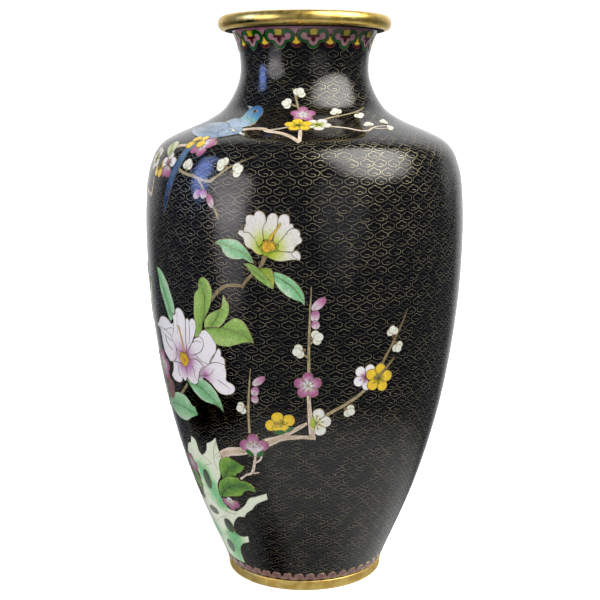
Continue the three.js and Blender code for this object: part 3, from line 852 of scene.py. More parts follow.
def bird_wing():
    """The folded wing with rings of feathers, the belly under it and the claws."""
    piece = motif("bird_wing", "blue_enamel", -40)
    wing = shape(
        [(-7, 266.4), (-3, 264.4), (0, 262), (2.6, 259.8), (1.4, 257)], [(-1, 256), (1, 252)],
        [(5, 248.6), (0, 247.2), (-6, 247.4), (-12, 248.8), (-18, 251), (-24, 253.4), (-30, 257)],
        [(-34, 260), (-28, 262.8), (-22, 265), (-14, 266.6)])
    piece.cell(wing, wing_blue, across((2, 252), (-20, 262)), layer=3)
    belly = shape(
        [(2.6, 259.8), (6, 259.3)], [(10, 259.8), (12.2, 256.6), (13.6, 253.2), (9, 250.4)],
        [(5, 248.6), (1, 252)], [(-1, 256), (1.4, 257)])
    piece.cell(belly, wing_blue, across((10, 252), (0, 258)), layer=3)
    # Rings and lines of feathers in the dark grey wire, whose darkness is painted shade along them
    turns = np.radians(range(0, 360, 12))[:, None]
    for size in (1, 0.76, 0.54, 0.34, 0.16):
        oval = np.cos(turns) * (11.6, 0.2) + np.sin(turns) * (-6.2, 5.4)
        piece.wire(oval * size + (-12.2, 257.2), 3, 0.36, closed=True, material=painted_shade_wire)
    feathers = [[(3, 258), (6, 255), (7, 251.6)], [(6, 258.4), (9, 256), (10.4, 252.6)],
                [(-26, 263), (-29, 260.6), (-31, 258.6)], [(-22, 263.8), (-26, 260), (-27.6, 256.6)]]
    wires(piece, feathers, 3, 0.36, painted_shade_wire)
    for claw in ([(6.4, 257.4), (7.4, 256), (9.6, 254.8)], [(13, 254), (14.6, 252.4), (17, 251.6)]):
        limb(piece, [(x, y, 1.2) for x, y in claw], 5, cream)
    piece.build()


def bird_tail():
    piece = motif("bird_tail", "blue_enamel", -50)
    spine = [(6, 247, 4.4), (4.4, 240, 4.8), (-1, 226, 5.0), (-5, 215.5, 4.4), (-8.4, 206, 1.6)]
    limb(piece, spine, 4, tail_blue, tint=across((-7, 210), (5, 243)))
    for offset in (-1.1, 0.2, 1.3):
        wires(piece, [[(x + offset, y - 1) for x, y, _ in spine[:-1]]], 4, 0.3)
    piece.build()


def neck_branches():
    """The branch that the bird sits on, and twigs with buds on the neck and shoulder."""
    piece = motif("neck_branch", "bark_enamel", 0)
    limb(piece, [(-33, 257.2, 2.6), (-26, 259, 2.8), (-20, 258.6, 2.8), (-18.6, 256.4, 3.2),
                 (-12, 254, 2.6), (-7, 250, 2.4), (-2.5, 244.6, 2.2)], 1, marks=7)
    limb(piece, [(-2.4, 245.4, 1.8), (-2.2, 252, 1.9), (-2, 259, 1.6)], 0, marks=2)
    limb(piece, [(-18, 257.4, 1.2), (-13, 259, 1.0), (-8, 261.2, 0.8)], 0)
    piece.build()
    piece = Inlay("inlay_neck_twigs", "bark_enamel", 0)
    limb(piece, [(-2, 272, 1.4), (-3, 279, 1.1), (-4.4, 286, 0.9), (-6, 291.6, 0.6)], 0, twig)
    limb(piece, [(-4, 281, 0.9), (-6.4, 282, 0.8), (-8, 282.6, 0.6)], 0, twig)
    limb(piece, [(9, 269.4, 1.5), (14, 272.2, 1.3), (20, 274.2, 1.1), (28, 277.2, 0.8),
                 (34, 280.4, 0.4)], 0, twig)
    limb(piece, [(11, 262.4, 1.5), (16, 261.4, 1.4), (21, 260, 1.4), (29, 256.6, 1.3), (33, 257, 1.3),
                 (37, 261, 1.1), (45.5, 262.6, 0.9)], 0)
    limb(piece, [(36, 260, 0.9), (42, 258.8, 0.8), (47, 259.4, 0.7)], 0)
    for x, y, angle in ((-2.6, 289, 60), (-8.8, 282.6, 170), (16, 276.8, 110), (29.4, 273.6, -70),
                        (34, 264, 100), (45.4, 267, 70), (47.6, 259.6, 0)):
        bud(piece, x, y, 3.1, angle)
    piece.build()


def neck_blossoms():
    single(blossom, "white_blossom_neck", "white_enamel", 0, 6.6, 264, 7, white, facing=60, layer=1)
    single(blossom, "pink_blossom_neck", "pink_enamel", 0, -0.8, 274.2, 6.6, pink, facing=90, layer=3,
           inner=cream)
    single(blossom, "yellow_blossom_neck", "yellow_enamel", 0, -3, 263, 7.2, yellow, facing=95, layer=4)


# ---- Flowers left of the shoulder, under the bird ----
def shoulder_cluster():
    single(blossom, "left_yellow_blossom", "yellow_enamel", -60, -4, 229.4, 7, yellow,
           angles=[-128, -62, 15], layer=2)
    piece = Inlay("inlay_shoulder_blossoms", "pink_enamel", -60)
    blossom(piece, 5.6, 230, 7, lilac, angles=[20, 92, 164], layer=3)
    blossom(piece, 5.6, 229.6, 7, pink, angles=[236, 300], stamens=3)
    blossom(piece, -13.4, 233, 7, white, facing=110, layer=1)
    leaf(piece, loop([(-3.4, 240.2), (-1, 243.6), (4, 243.2), (6, 238.6), (4.6, 234), (0.4, 235.4)]),
         pale_leaf, [(-1.8, 241.6), (1.4, 239.4), (4, 235.6)], layer=3, reach=3)
    limb(piece, [(5, 240, 2.4), (9, 241.2, 2.2), (13, 241.4, 1.8)], 1, marks=2)
    limb(piece, [(-30, 218, 2.6), (-20, 215.4, 2.2), (-12, 214, 1.8), (-9.6, 218.4, 1.5),
                 (-9, 223, 1.4)], 1, marks=3)
    piece.build()
    piece = Inlay("inlay_under_bird_blossoms", "yellow_enamel", -50)
    blossom(piece, 12.2, 242.4, 7.8, pink, facing=4, layer=1, inner=cream)
    blossom(piece, 6.6, 243.4, 6.6, yellow, angles=[-15, 60, 135, 208], layer=5)
    piece.build()


def shoulder_twig():
    piece = Inlay("inlay_shoulder_twig", "bark_enamel", -50)
    limb(piece, [(2, 228, 1.3), (8, 226, 1.4), (14, 225, 1.4), (20, 223.4, 1.2), (25.6, 222.8, 1.3),
                 (26.6, 223.4, 1.3), (30, 226, 1.0), (34, 229.4, 0.9), (40, 232.6, 0.7),
                 (46, 235.8, 0.4)], 0, twig, marks=6)
    limb(piece, [(17, 224.4, 1.2), (20, 221.4, 1.1), (22.6, 218, 1.0), (26, 213.4, 0.9),
                 (29.6, 209, 0.8), (31.8, 204.6, 0.5)], 0, twig)
    for x, y, angle in ((8.6, 230.4, 80), (30.6, 231.4, 150), (39.4, 228.6, 20)):
        bud(piece, x, y, 3.4, angle)
    closed_bud(piece, 18.2, 216.2, 2.7, 0.72, 40)
    closed_bud(piece, 22.4, 216.6, 2.3, 0.95, 90, layer=3)
    closed_bud(piece, 26.6, 213.4, 3.6, 0.52, 115)
    piece.build()


# ---- White peony ----
def white_peony():
    """Six white petals, green towards a yellow heart."""
    piece = motif("white_peony", "white_enamel", -15)
    lime = spread(5, 191.5, 2.5, 17)
    piece.cell(disc(5.2, 192, 5.2, 0.72), white, 0.02, 1, wired=False)
    upper_edge = [(-6.8, 199.2), (-4.6, 199.1), (-2.6, 197.6), (-0.8, 195.2), (0.4, 192.4), (2, 190.2)]
    left = shape(
        [(-9.2, 199.9), (-7.6, 200.1)], upper_edge[:-1],
        [(2, 190.2), (2.8, 189), (0.6, 188.7), (-1.4, 189.8), (-3.2, 191.4), (-5.2, 192.2),
         (-6.6, 194), (-7.2, 196.4), (-8.6, 197.4), (-9.8, 198.6)])
    top_left = shape(
        [(-6.8, 199.2), (-6.8, 201), (-5.7, 203.4), (-6, 205.6), (-4.9, 207.3), (-3.3, 207.5)],
        [(-1.8, 207), (-0.9, 208.9), (0.9, 209.5), (2.9, 208.5), (4, 206.6)],
        [(4.3, 204.6), (3, 202.4), (2.6, 199.8), (2.9, 197.2)], [(2.6, 194.6), (1.6, 193.2)],
        upper_edge[-2:0:-1])
    middle = shape(
        [(4.3, 204.6), (5, 207), (6.6, 208.5), (8.4, 208.4), (9.6, 207)],
        [(10, 205.8), (9.6, 202.4), (8.4, 199)], [(7.2, 195.8), (5, 195.8)],
        [(2.8, 196), (2.6, 199.8), (3, 202.4)])
    top_right = shape(
        [(10, 205.8), (11.2, 207.6), (13, 208.2), (15, 207.2), (15.6, 205)],
        [(15.4, 203.8), (17, 203.3)],
        [(17.4, 201.8), (15, 200.4), (13.6, 198.6), (12.6, 197.2), (11, 195.6)],
        [(9.6, 194), (9, 193)], [(7.6, 195.2), (8.4, 199), (9.6, 202.4)])
    right = shape(
        [(17.3, 201.7), (19.2, 201), (20.6, 199.2)], [(20.4, 197.6), (21.4, 196.4), (21, 194.6)],
        [(19.8, 194), (18.4, 193), (17.6, 191.4)], [(17, 190.2), (14, 190.4), (11, 190.6)],
        [(9.4, 191.6), (10.4, 193)],
        [(9.8, 194.2), (11, 195.6), (12.6, 197.2), (13.6, 198.6), (15, 200.4)])
    bottom = shape(
        [(4.6, 188.8), (7, 190), (9.4, 190.6), (12, 190.4), (15, 190.2)],
        [(17, 190.2), (18.4, 191), (19.8, 190.2), (20.8, 188)],
        [(20.2, 186), (18.4, 186.6), (15, 186.2), (11, 185.7), (7.6, 186.4), (5, 187.6)])
    for outline in (left, top_left, middle, top_right, right, bottom):
        piece.cell(outline, white, lime, 2, width=0.5)
    wires(piece, [[(16.2, 189.6), (17.2, 188), (19.8, 186.6)]], 2, 0.4)
    piece.cell(loop([(2.2, 192), (3, 195.2), (4.5, 195.9), (6, 195.2), (7.6, 194.2), (8.9, 192.2),
                     (8, 191), (6, 190.6), (4.6, 189.8), (3.2, 190.4)]), stamen,
               spread(5.4, 192.6, 0, 3), 3)
    creases = [[(3.2, 194.4), (4.4, 192.4), (6.2, 191.4), (8, 192)],
               [(4.6, 195.4), (5.2, 194), (6.4, 193)]]
    wires(piece, creases, 3, 0.3)
    limb(piece, [(5.6, 194.6, 1.1), (6.6, 197, 1.3), (8.4, 199.6, 0.9), (11.2, 203.8, 1.0)], 4, stamen)
    for place in oval_arc(5.4, 192.8, 3.4, 2.6, range(25, 154, 16)):
        piece.cell(disc(*place, 0.4), stamen, 0.9, 4, width=0.2)
    piece.build()


def peony_leaves():
    outline = shape(
        [(-22.8, 193), (-20, 195), (-15, 195.6), (-11, 195.3), (-7, 192.5), (-3.4, 187.5)],
        [(-1.8, 184.2), (-4.4, 185), (-7, 186.4), (-10, 186), (-15, 186.6), (-18, 189), (-19.6, 192)])
    single(leaf, "peony_left_leaf", "leaf_enamel", -15, outline, mint,
           [(-22, 193.2), (-18, 193), (-12, 191), (-6, 188.4), (-2.2, 184.6)], reach=5)
    piece = motif("peony_folded_leaf", "leaf_enamel", -15)
    outline = shape(
        [(-7.2, 184), (-4, 184.2), (-1, 182.8), (2, 180.5), (5, 177.5), (7.4, 173)],
        [(7.4, 172), (4, 174), (0, 176.5), (-3, 179.5), (-6, 183)])
    leaf(piece, outline, leaf_green, [(-5, 183.2), (-1, 180), (3.4, 176.4)], reach=4)
    outline = shape(
        [(0.8, 182), (4, 182.4), (6.4, 181.8), (7.6, 179.5), (7.9, 175)],
        [(7.4, 172.2), (5, 177.3), (2, 180.4)])
    piece.cell(outline, olive, across((2, 181), (8, 175)), 2)
    piece.build()
    outline = shape(
        [(7.8, 180.6), (11, 180), (16, 177.5), (20, 173.5), (22.2, 169)],
        [(22.3, 164.2), (20.8, 166), (17, 167.4), (12.6, 170), (9.4, 173.6), (8, 176.5)])
    single(leaf, "peony_right_leaf", "leaf_enamel", -15, outline, mint,
           [(8.4, 178.8), (13, 176), (18, 172), (21.6, 166.5)], reach=5)


def peony_stem():
    piece = motif("peony_stem", "bark_enamel", -15)
    limb(piece, [(3.8, 188.6, 2.2), (2.4, 185, 1.8), (0.6, 182, 1.5), (-3, 178.8, 1.4),
                 (-6.4, 175.4, 1.5), (-8.6, 172.2, 1.6)], 0, stem, 3)
    limb(piece, [(-7.6, 173.2, 1.5), (-12, 173.2, 1.4), (-17, 172.6, 1.5), (-22, 169.4, 1.6),
                 (-26, 164.8, 1.7)], 0, stem, 4)
    piece.build()


def side_leaves():
    outline = shape(
        [(-36.6, 143.4), (-38.6, 145.6), (-37, 150), (-37.8, 156), (-37.4, 162), (-36.4, 167.4),
         (-34, 169.4), (-33.8, 173), (-32.6, 175), (-30.5, 175.8), (-28, 174.4), (-26, 171),
         (-25.4, 167), (-27, 161.4), (-29.6, 156.6), (-32, 152.4), (-33.4, 147.8)])
    single(leaf, "tall_leaf", "leaf_enamel", -15, outline, leaf_green,
         [(-33.6, 173.6), (-31, 170.4), (-30.2, 165), (-30.8, 157), (-33.4, 150.6)], reach=5)
    outline = shape(
        [(-31.2, 150.4), (-30.6, 154), (-27.4, 157.6), (-23.6, 159.6), (-20.4, 161.2),
         (-19.4, 164.6)],
        [(-18.8, 168.2), (-17.6, 165.6), (-16, 163.4), (-15.8, 160), (-17.4, 156.4), (-21.8, 151.6),
         (-26, 150.8)])
    single(leaf, "middle_leaf", "leaf_enamel", -15, outline, leaf_green,
           [(-20.6, 160.8), (-23.4, 155.6), (-26.4, 151.8)], reach=4)
    outline = shape(
        [(-31, 149.8), (-26, 150.6), (-20.4, 151.6), (-16.6, 154.6), (-12.4, 156.8), (-9, 155.8),
         (-5.8, 151.6)],
        [(-3, 145), (-7, 145), (-12, 143.6), (-17.4, 141.9), (-24, 142.6), (-27.6, 147)])
    single(leaf, "broad_leaf", "leaf_enamel", -15, outline, leaf_green,
         [(-30.6, 150.2), (-25, 151), (-19, 151.2), (-12, 149.6), (-6, 147.2), (-3.4, 145.4)],
         reach=6, layer=2)


# ---- Pink peony ----
def pink_peony():
    """Pale petals that blush towards a yellow heart, with folds drawn in wire."""
    piece = motif("pink_peony", "lilac_enamel", -50)
    heart = spread(2, 131, 2, 18)
    piece.cell(loop([(-9, 140), (0, 146), (8, 141), (16, 135), (22, 131), (17, 125), (11, 121),
                     (0, 124), (-10, 127)]), lilac, spread(3, 131, -2, 26), 0, wired=False)
    # Layer and outline of each petal, with the ones at the back first
    petals = [
        (1, shape(
            [(-28, 145), (-24, 146.8), (-20, 150), (-15, 151.3), (-10, 150.4), (-6.5, 148.5)],
            [(-3.6, 150.5), (-3, 144)], [(-8, 139), (-16, 141), (-24, 143.4)])),
        (1, shape(
            [(-24, 144.2), (-22, 140), (-21.5, 135), (-20, 131), (-16.5, 128.5), (-14.5, 127.2)],
            [(-9.5, 127.6), (-5, 132), (-6, 140), (-14, 143.8)])),
        (1, shape(
            [(16.4, 147), (19, 148.8), (22, 148.8), (25, 146.4), (26.4, 143), (26, 139), (24, 135.6),
             (21.5, 132.6)], [(20, 131), (14, 133), (10, 138), (14, 144)])),
        (1, shape(
            [(26, 138.6), (27.6, 140.2), (28.8, 139)], [(28.4, 136.4), (29.6, 135.8), (30.6, 133.8)],
            [(30, 131.6), (24, 131), (21, 132.4)])),
        (2, shape(
            [(30, 132), (30.4, 128)],
            [(29.6, 124), (31, 123.1), (33, 122.2), (34.2, 120), (32.6, 117.4), (29, 116), (25, 116.2),
             (22.6, 118)], [(20, 121), (16, 123.2)],
            [(12.2, 123.6), (16, 128), (22, 132), (26, 132.8)])),
        (2, shape(
            [(12.2, 143.4), (15, 144.8), (17, 144.8), (18.4, 142.6), (17.6, 139.6), (15.6, 137.2),
             (12, 135.4), (8.6, 134.4)], [(5, 134.4), (8, 138.6)])),
        (2, shape(
            [(7, 152.4), (8, 153.6), (9.4, 153.2)],
            [(10, 151.8), (10.8, 153.4), (12.8, 154), (14.4, 152.6), (14.2, 149), (13, 146),
             (11.5, 143.4), (9, 139.6)], [(5, 134.6), (5, 143)])),
        (3, shape(
            [(-4.2, 154.8), (-3.4, 153.8)],
            [(-1.4, 154.4), (-0.4, 157.2), (2.4, 158.3), (5, 157), (6.6, 154)],
            [(6.9, 151), (6.2, 147.5), (5.4, 142)], [(5, 134.6), (0, 134), (-4, 136)],
            [(-8, 141), (-5.4, 144.4), (-4, 149)])),
        (2, shape(
            [(-14.6, 119.4), (-12.6, 117.4), (-9, 116.6), (-5.4, 117), (-3, 118.8)],
            [(-2.6, 120.4), (-0.6, 118.8), (1.2, 120)],
            [(2, 121.4), (3.6, 119.4), (6.4, 118.4), (9, 118.8)],
            [(10.8, 120.2), (9.2, 123), (9.2, 126.6)], [(7, 130.6), (0, 128.2), (-5, 128.2)],
            [(-10.5, 127.6), (-10.8, 124)])),
        (3, shape(
            [(5.6, 131), (9, 132.2), (12, 132.4), (14.6, 131)], [(16.4, 129.4), (13.6, 127), (12, 124)],
            [(10.9, 120.4), (8.9, 123), (8.6, 127)])),
    ]
    for layer, outline in petals:
        blush = spread(17, 125, -1, 11) if outline[:, 0].max() > 33 else heart
        piece.cell(outline, lilac, blush, layer, width=0.5)
    folds = [[(-14.6, 144.2), (-12, 145), (-9, 146), (-5, 146.4)],
             [(-15.6, 141), (-15, 138), (-13, 136), (-8.6, 134.2)],
             [(26, 139), (23, 134.5), (20.2, 131.2)], [(10, 141), (14, 142.6), (17, 142)],
             [(22.8, 129), (21, 126.4), (18, 124.8), (13, 124)],
             [(24.4, 123.6), (28, 121.6), (31.6, 119.4)], [(-4, 127.4), (-5.4, 123.4), (-4.4, 120.6)],
             [(3, 129.4), (2.6, 126), (2.2, 122)], [(0.6, 156), (-0.4, 150), (-1.4, 144)],
             [(9.6, 151), (9.2, 146), (7.6, 140)]]
    wires(piece, folds, 3, 0.36)
    piece.cell(loop([(-1.8, 132.6), (-0.6, 134.4), (2, 134.8), (4.2, 134.2), (5.8, 132.6), (5.4, 130.2),
                     (4, 128.4), (1.6, 127), (-1, 129), (-1.8, 130.6)]), stamen, spread(2, 131, 0, 3.4),
               4)
    creases = [[(-0.4, 133), (1.4, 131.4), (3.6, 131.6), (5, 132.8)],
               [(0.8, 127.8), (1.6, 129.6), (3.4, 130.4)]]
    wires(piece, creases, 4, 0.3)
    limb(piece, [(3, 134, 1.1), (2.4, 140, 1.0), (1.4, 145, 1.0), (0.6, 148.6, 1.2)], 4, stamen)
    for place in oval_arc(2, 131.4, 3.4, 2.9, range(20, 161, 20)):
        piece.cell(disc(*place, 0.45), stamen, 0.9, 5, width=0.2)
    piece.build()


def pink_peony_leaves():
    outline = shape(
        [(-7.6, 149.6), (-10, 154), (-13, 160), (-16, 166), (-17.4, 172)],
        [(-19.4, 177), (-14, 176), (-8, 171), (-4, 164), (-2, 158), (-3, 153)])
    single(leaf, "peony_upper_leaf", "mint_enamel", -50, outline, mint,
           [(-17.6, 174.6), (-12.6, 167), (-8.4, 160), (-6, 152.6)], layer=0)
    outline = shape(
        [(1, 120), (8, 122.6), (15, 122.2), (21, 118), (24, 112)],
        [(24.9, 105.6), (21, 109), (13, 110), (6, 114)])
    single(leaf, "peony_lower_leaf", "mint_enamel", -50, outline, mint,
           [(3, 119.4), (10, 118), (17, 114), (23.6, 107.4)], layer=0)
    piece = motif("heart_leaf", "mint_enamel", -50)
    outline = shape(
        [(5.4, 101), (4.4, 103.4)], [(4.2, 105.2), (2, 105.4)],
        [(0.6, 107.4), (-3, 110), (-10, 110.4), (-18, 108), (-25, 104)],
        [(-32, 99.6), (-24, 97), (-15, 94.5), (-7, 95), (-1, 98)])
    leaf(piece, outline, mint, [(3, 101.4), (-8, 102.8), (-18, 102.2), (-28, 100.2)], layer=0,
         reach=7)
    limb(piece, [(-7, 110.4, 1.6), (-3, 113.6, 1.5), (1, 117.4, 1.4)], 0, stem)
    piece.build()


# ---- Plum branches across the front ----
def middle_branches():
    piece = motif("middle_branch", "bark_enamel", 0)
    limb(piece, [(4, 94, 3.2), (3.2, 101, 2.8), (2.6, 108, 2.3), (2, 118, 1.9), (1.9, 123.4, 1.8)], 0,
         marks=6)
    limb(piece, [(1.9, 123.6, 1.8), (2, 131, 1.6), (2.1, 145, 1.3), (2.6, 160, 1.1), (3.2, 173.6, 0.6)],
         0, twig, marks=6)
    piece.build()
    piece = Inlay("inlay_middle_twigs", "bark_enamel", 0)
    limb(piece, [(9, 106, 1.8), (11, 107.6, 1.7), (20, 112.6, 1.6), (27, 117, 1.6), (33, 122, 1.6)], 0,
         twig, marks=5)
    limb(piece, [(35.4, 125.4, 1.4), (38.6, 127.6, 1.2), (42, 130.4, 1.1), (46.6, 135.4, 0.6)], 6, stem)
    limb(piece, [(2, 162.4, 0.8), (4.4, 164.4, 0.8), (6.6, 165.4, 0.7)], 0, twig)
    limb(piece, [(2, 137.6, 0.9), (-0.4, 139.8, 0.8), (-2, 141, 0.7)], 0, twig)
    limb(piece, [(2.2, 144.6, 0.9), (4, 146.4, 0.8), (5.4, 147.6, 0.7)], 0, twig)
    for x, y, size, slim, angle in ((6.8, 165, 4.4, 0.5, 42), (5.0, 159.2, 3.0, 0.76, 78),
                                    (5.2, 154.8, 2.3, 0.9, 110)):
        closed_bud(piece, x, y, size, slim, angle)
    for x, y, size, angle in ((5.8, 148.4, 3.5, 15), (-2.8, 141.4, 3.4, 195), (22.4, 109.2, 3.3, -30)):
        bud(piece, x, y, size, angle)
    piece.build()
    piece = Inlay("inlay_right_twig", "bark_enamel", 25)
    limb(piece, [(3.4, 130.8, 1.3), (6, 136.5, 1.2), (9, 142, 1.1), (12, 148, 0.9), (15, 153.6, 0.7),
                 (17.6, 160, 0.4)], 0, stem, marks=3)
    for x, y, angle in ((12.6, 140.8, -60), (8.8, 149.2, 100)):
        bud(piece, x, y, 3.2, angle)
    piece.build()


def middle_blossoms():
    single(blossom, "middle_pink_blossom", "pink_enamel", 0, 1.6, 123.6, 7.2, pink, facing=90, layer=2,
           inner=cream)
    piece = motif("middle_white_blossom", "white_enamel", 0)
    piece.cell(disc(5.8, 103.4, 3.0, 1.2), white, 0.1, 1, wired=False)
    blossom(piece, 5.4, 103.6, 8, bud_white, angles=[72, 5, -62], stamens=5)
    piece.build()
    piece = Inlay("inlay_behind_right_blossom", "white_enamel", 0)
    blossom(piece, 31, 126.6, 7.2, lilac, facing=62, layer=1)
    piece.build()
    single(blossom, "right_yellow_blossom", "yellow_enamel", 0, 38, 125.5, 7.8, yellow, facing=80,
           layer=4)


def lower_branches():
    piece = motif("lower_branch", "bark_enamel", 0)
    limb(piece, [(-49, 77, 5.2), (-45, 80.6, 5), (-40, 83.4, 5.2), (-34, 84.6, 5), (-28, 87, 5),
                 (-20, 91, 5), (-12, 94.4, 3.4), (-6, 95.2, 2.4), (0, 95.4, 2.2), (5.6, 95, 2.6)], 0,
         marks=14)
    limb(piece, [(-14, 93.6, 3.4), (-7.4, 98, 2.6), (-2, 101.2, 2.2), (1.2, 103.4, 1.4)], 0, marks=4)
    for x, y in ((-33, 83.6), (-17, 92)):
        piece.wire(disc(x, y, 2.0, 0.45, 22), 0, 0.3, closed=True)
    piece.build()
    piece = Inlay("inlay_lower_twigs", "bark_enamel", 0)
    limb(piece, [(-28.2, 96, 1.4), (-28.6, 108, 1.2), (-28, 120, 1.0), (-27, 131.4, 0.6)], 0, twig,
         marks=5)
    limb(piece, [(-25.2, 86, 1.4), (-25.8, 80, 1.5), (-27.6, 72.4, 1.6), (-31, 70.6, 1.3),
                 (-34.4, 67.4, 1.4)], 0, marks=3)
    limb(piece, [(-21.8, 84, 1.1), (-22.8, 81, 1.1), (-26, 78.6, 1.1)], 0)
    limb(piece, [(-27.6, 72.4, 1.0), (-25.4, 72.6, 0.8), (-23.4, 73.4, 0.6)], 0)
    for x, y, size, slim, angle in ((-22.8, 125.2, 3.9, 0.5, 35), (-24.8, 119.6, 2.7, 0.78, 75),
                                    (-25, 115.4, 2.2, 0.9, 110)):
        closed_bud(piece, x, y, size, slim, angle)
    bud(piece, -32.2, 109.8, 3.2, 200)
    piece.build()
    piece = motif("left_pink_blossom_low", "pink_enamel", 0)
    blossom(piece, -26, 88, 8.2, pink, angles=[168, 94, 20], layer=3, stamens=5)
    outline = shape(
        [(-31, 88.4), (-28, 85.6), (-25.4, 82.8), (-23, 85.6)], [(-20.4, 88.6), (-22, 90.2)],
        [(-23.8, 89.2), (-26, 91)], [(-28.2, 89.2), (-29.8, 90)])
    piece.cell(outline, pink, 0.15, 4, width=0.24)
    for x, y, angle in ((-28.2, 84.6, -38), (-22.4, 84.8, 38)):
        piece.cell(disc(x, y, 2.6, 0.5, angle), sepal, 0.3, 5, width=0.24)
    piece.build()
    piece = motif("left_yellow_blossom_low", "yellow_enamel", 0)
    blossom(piece, -11.6, 101.2, 8.4, yellow, angles=[176, 112, 44], stamens=6)
    piece.cell(disc(-11.8, 100.4, 4.4, 0.5), yellow, 0.5, 3, width=0.24)
    for x, y, size, angle in ((-12.4, 98, 3.0, 4), (-7.4, 99.8, 2.3, 32)):
        piece.cell(disc(x, y, size, 0.42, angle), sepal, 0.3, 4, width=0.24)
    piece.build()


# ---- Rock ----
def scholar_rock():
    """A pierced and creased rock, green in its hollows."""
    piece = motif("scholar_rock", "rock_enamel", -40)
    outline = shape(
        [(-4.2, 6), (-4.6, 11), (-3.6, 16.6), (0.4, 21.6)], [(5.6, 24.2)],
        [(6.4, 28.8), (3, 27.4), (0, 27)], [(-2.8, 28), (-2.2, 33), (0.6, 37.8), (4.4, 41.4)],
        [(8.6, 42.2), (10.6, 45.2), (15, 48.6), (18.6, 52.6)], [(26, 56.8)],
        [(26.2, 60.6), (19.4, 57.6), (15, 55.6), (11.4, 51), (7.4, 47.4)],
        [(4, 45), (-1.6, 45.4), (-4, 50), (-5.6, 54), (-4.8, 60)], [(-1, 65.4), (0.4, 70), (1.6, 76)],
        [(4.2, 78.2), (2.6, 84)], [(2.4, 90), (-1.6, 87)], [(-5.6, 85), (-7.6, 80), (-12.6, 76.6)],
        [(-14.6, 78.6), (-15.6, 84.6)], [(-19.6, 86.2), (-21.4, 82), (-26, 79.6)],
        [(-30, 74), (-25.6, 68), (-21.6, 62)], [(-22, 54), (-24, 48.6), (-30, 44.6)],
        [(-36, 40), (-32, 28), (-33, 16)], [(-29, 6), (-16, 5.9)])
    greens = [(-16, 66, 6.5), (-11, 56, 7.5), (-6, 48, 5), (-8, 14, 10), (-5, 25, 6), (-24, 24, 6)]

    def tone(p):
        near = [np.exp(-((p[:, 0] - x) ** 2 + (p[:, 1] - y) ** 2) / size**2) for x, y, size in greens]
        return np.clip(1 - np.sum(near, 0), 0, 1)

    piece.cell(outline, rock_green, tone, 0, width=0.4)
    for x, y, wide, tall in ((-13.2, 61, 3.1, 6.2), (-17.4, 39.4, 4.8, 2.6), (-6.2, 32.4, 3.6, 4.8),
                             (-12.6, 15.8, 3.3, 4.6), (-27, 47.4, 3.6, 3.4)):
        piece.cell(disc(x, y, wide, tall / wide), rock_hole, across((x, y + tall), (x, y - tall)), 1)
    creases = [
        [(-12.6, 76.4), (-8, 74.6), (-5, 72.8), (-8, 71.8), (-11.6, 70), (-13.8, 66.6)],
        [(-20, 50), (-14, 47), (-8, 43.6), (-2, 42.4), (4, 43.4)],
        [(-30, 33), (-20, 31), (-12, 36), (-5, 39.6)], [(-20, 22), (-14, 22.8), (-9, 27), (-3, 28)],
        [(-26, 67), (-20, 68.4), (-17, 66)], [(-8, 8), (-6.6, 14), (-8, 20), (-4, 24)],
        [(2, 88), (-1, 82), (-2.6, 76), (-1.6, 70)],
    ]
    wires(piece, creases, 0, 0.36)
    piece.build()


def rock_leaves():
    piece = motif("rock_leaves", "leaf_enamel", -40)
    upper = shape(
        [(1, 65), (0, 70), (0.8, 74.4), (3.6, 77.6), (8, 79.8)], [(10.6, 79), (13, 77.8), (15, 76.6)],
        [(17.4, 76), (15.6, 73.4)], [(13.6, 71.4), (11.6, 70.6)], [(10.4, 68.6), (7, 68.4), (4, 66)])
    leaf(piece, upper, lobed, [(2.6, 66.4), (6.6, 72), (12.6, 75.6)], layer=1, veins=3)
    lower = shape(
        [(-5, 52.4), (-4.6, 58), (-2.4, 62.4), (1, 65), (6, 67.9)], [(10.6, 68), (12.6, 66.4)],
        [(16, 66.6), (18.6, 65), (20.2, 62.6)], [(20.2, 60.6), (16, 61)],
        [(13, 59.5), (11, 57), (8, 55.8)], [(5, 55), (2, 54.2), (-1, 53)])
    leaf(piece, lower, lobed, [(-3.6, 54), (3, 60), (10, 63), (18, 62.8)], layer=2, veins=4)
    piece.build()
    piece = Inlay("inlay_rock_blossom", "pink_enamel", -40)
    blossom(piece, 1.4, 51.6, 6.6, pink, angles=[-150, -88, -24], half_angle=34, layer=0, inner=cream,
            stamens=5)
    piece.build()


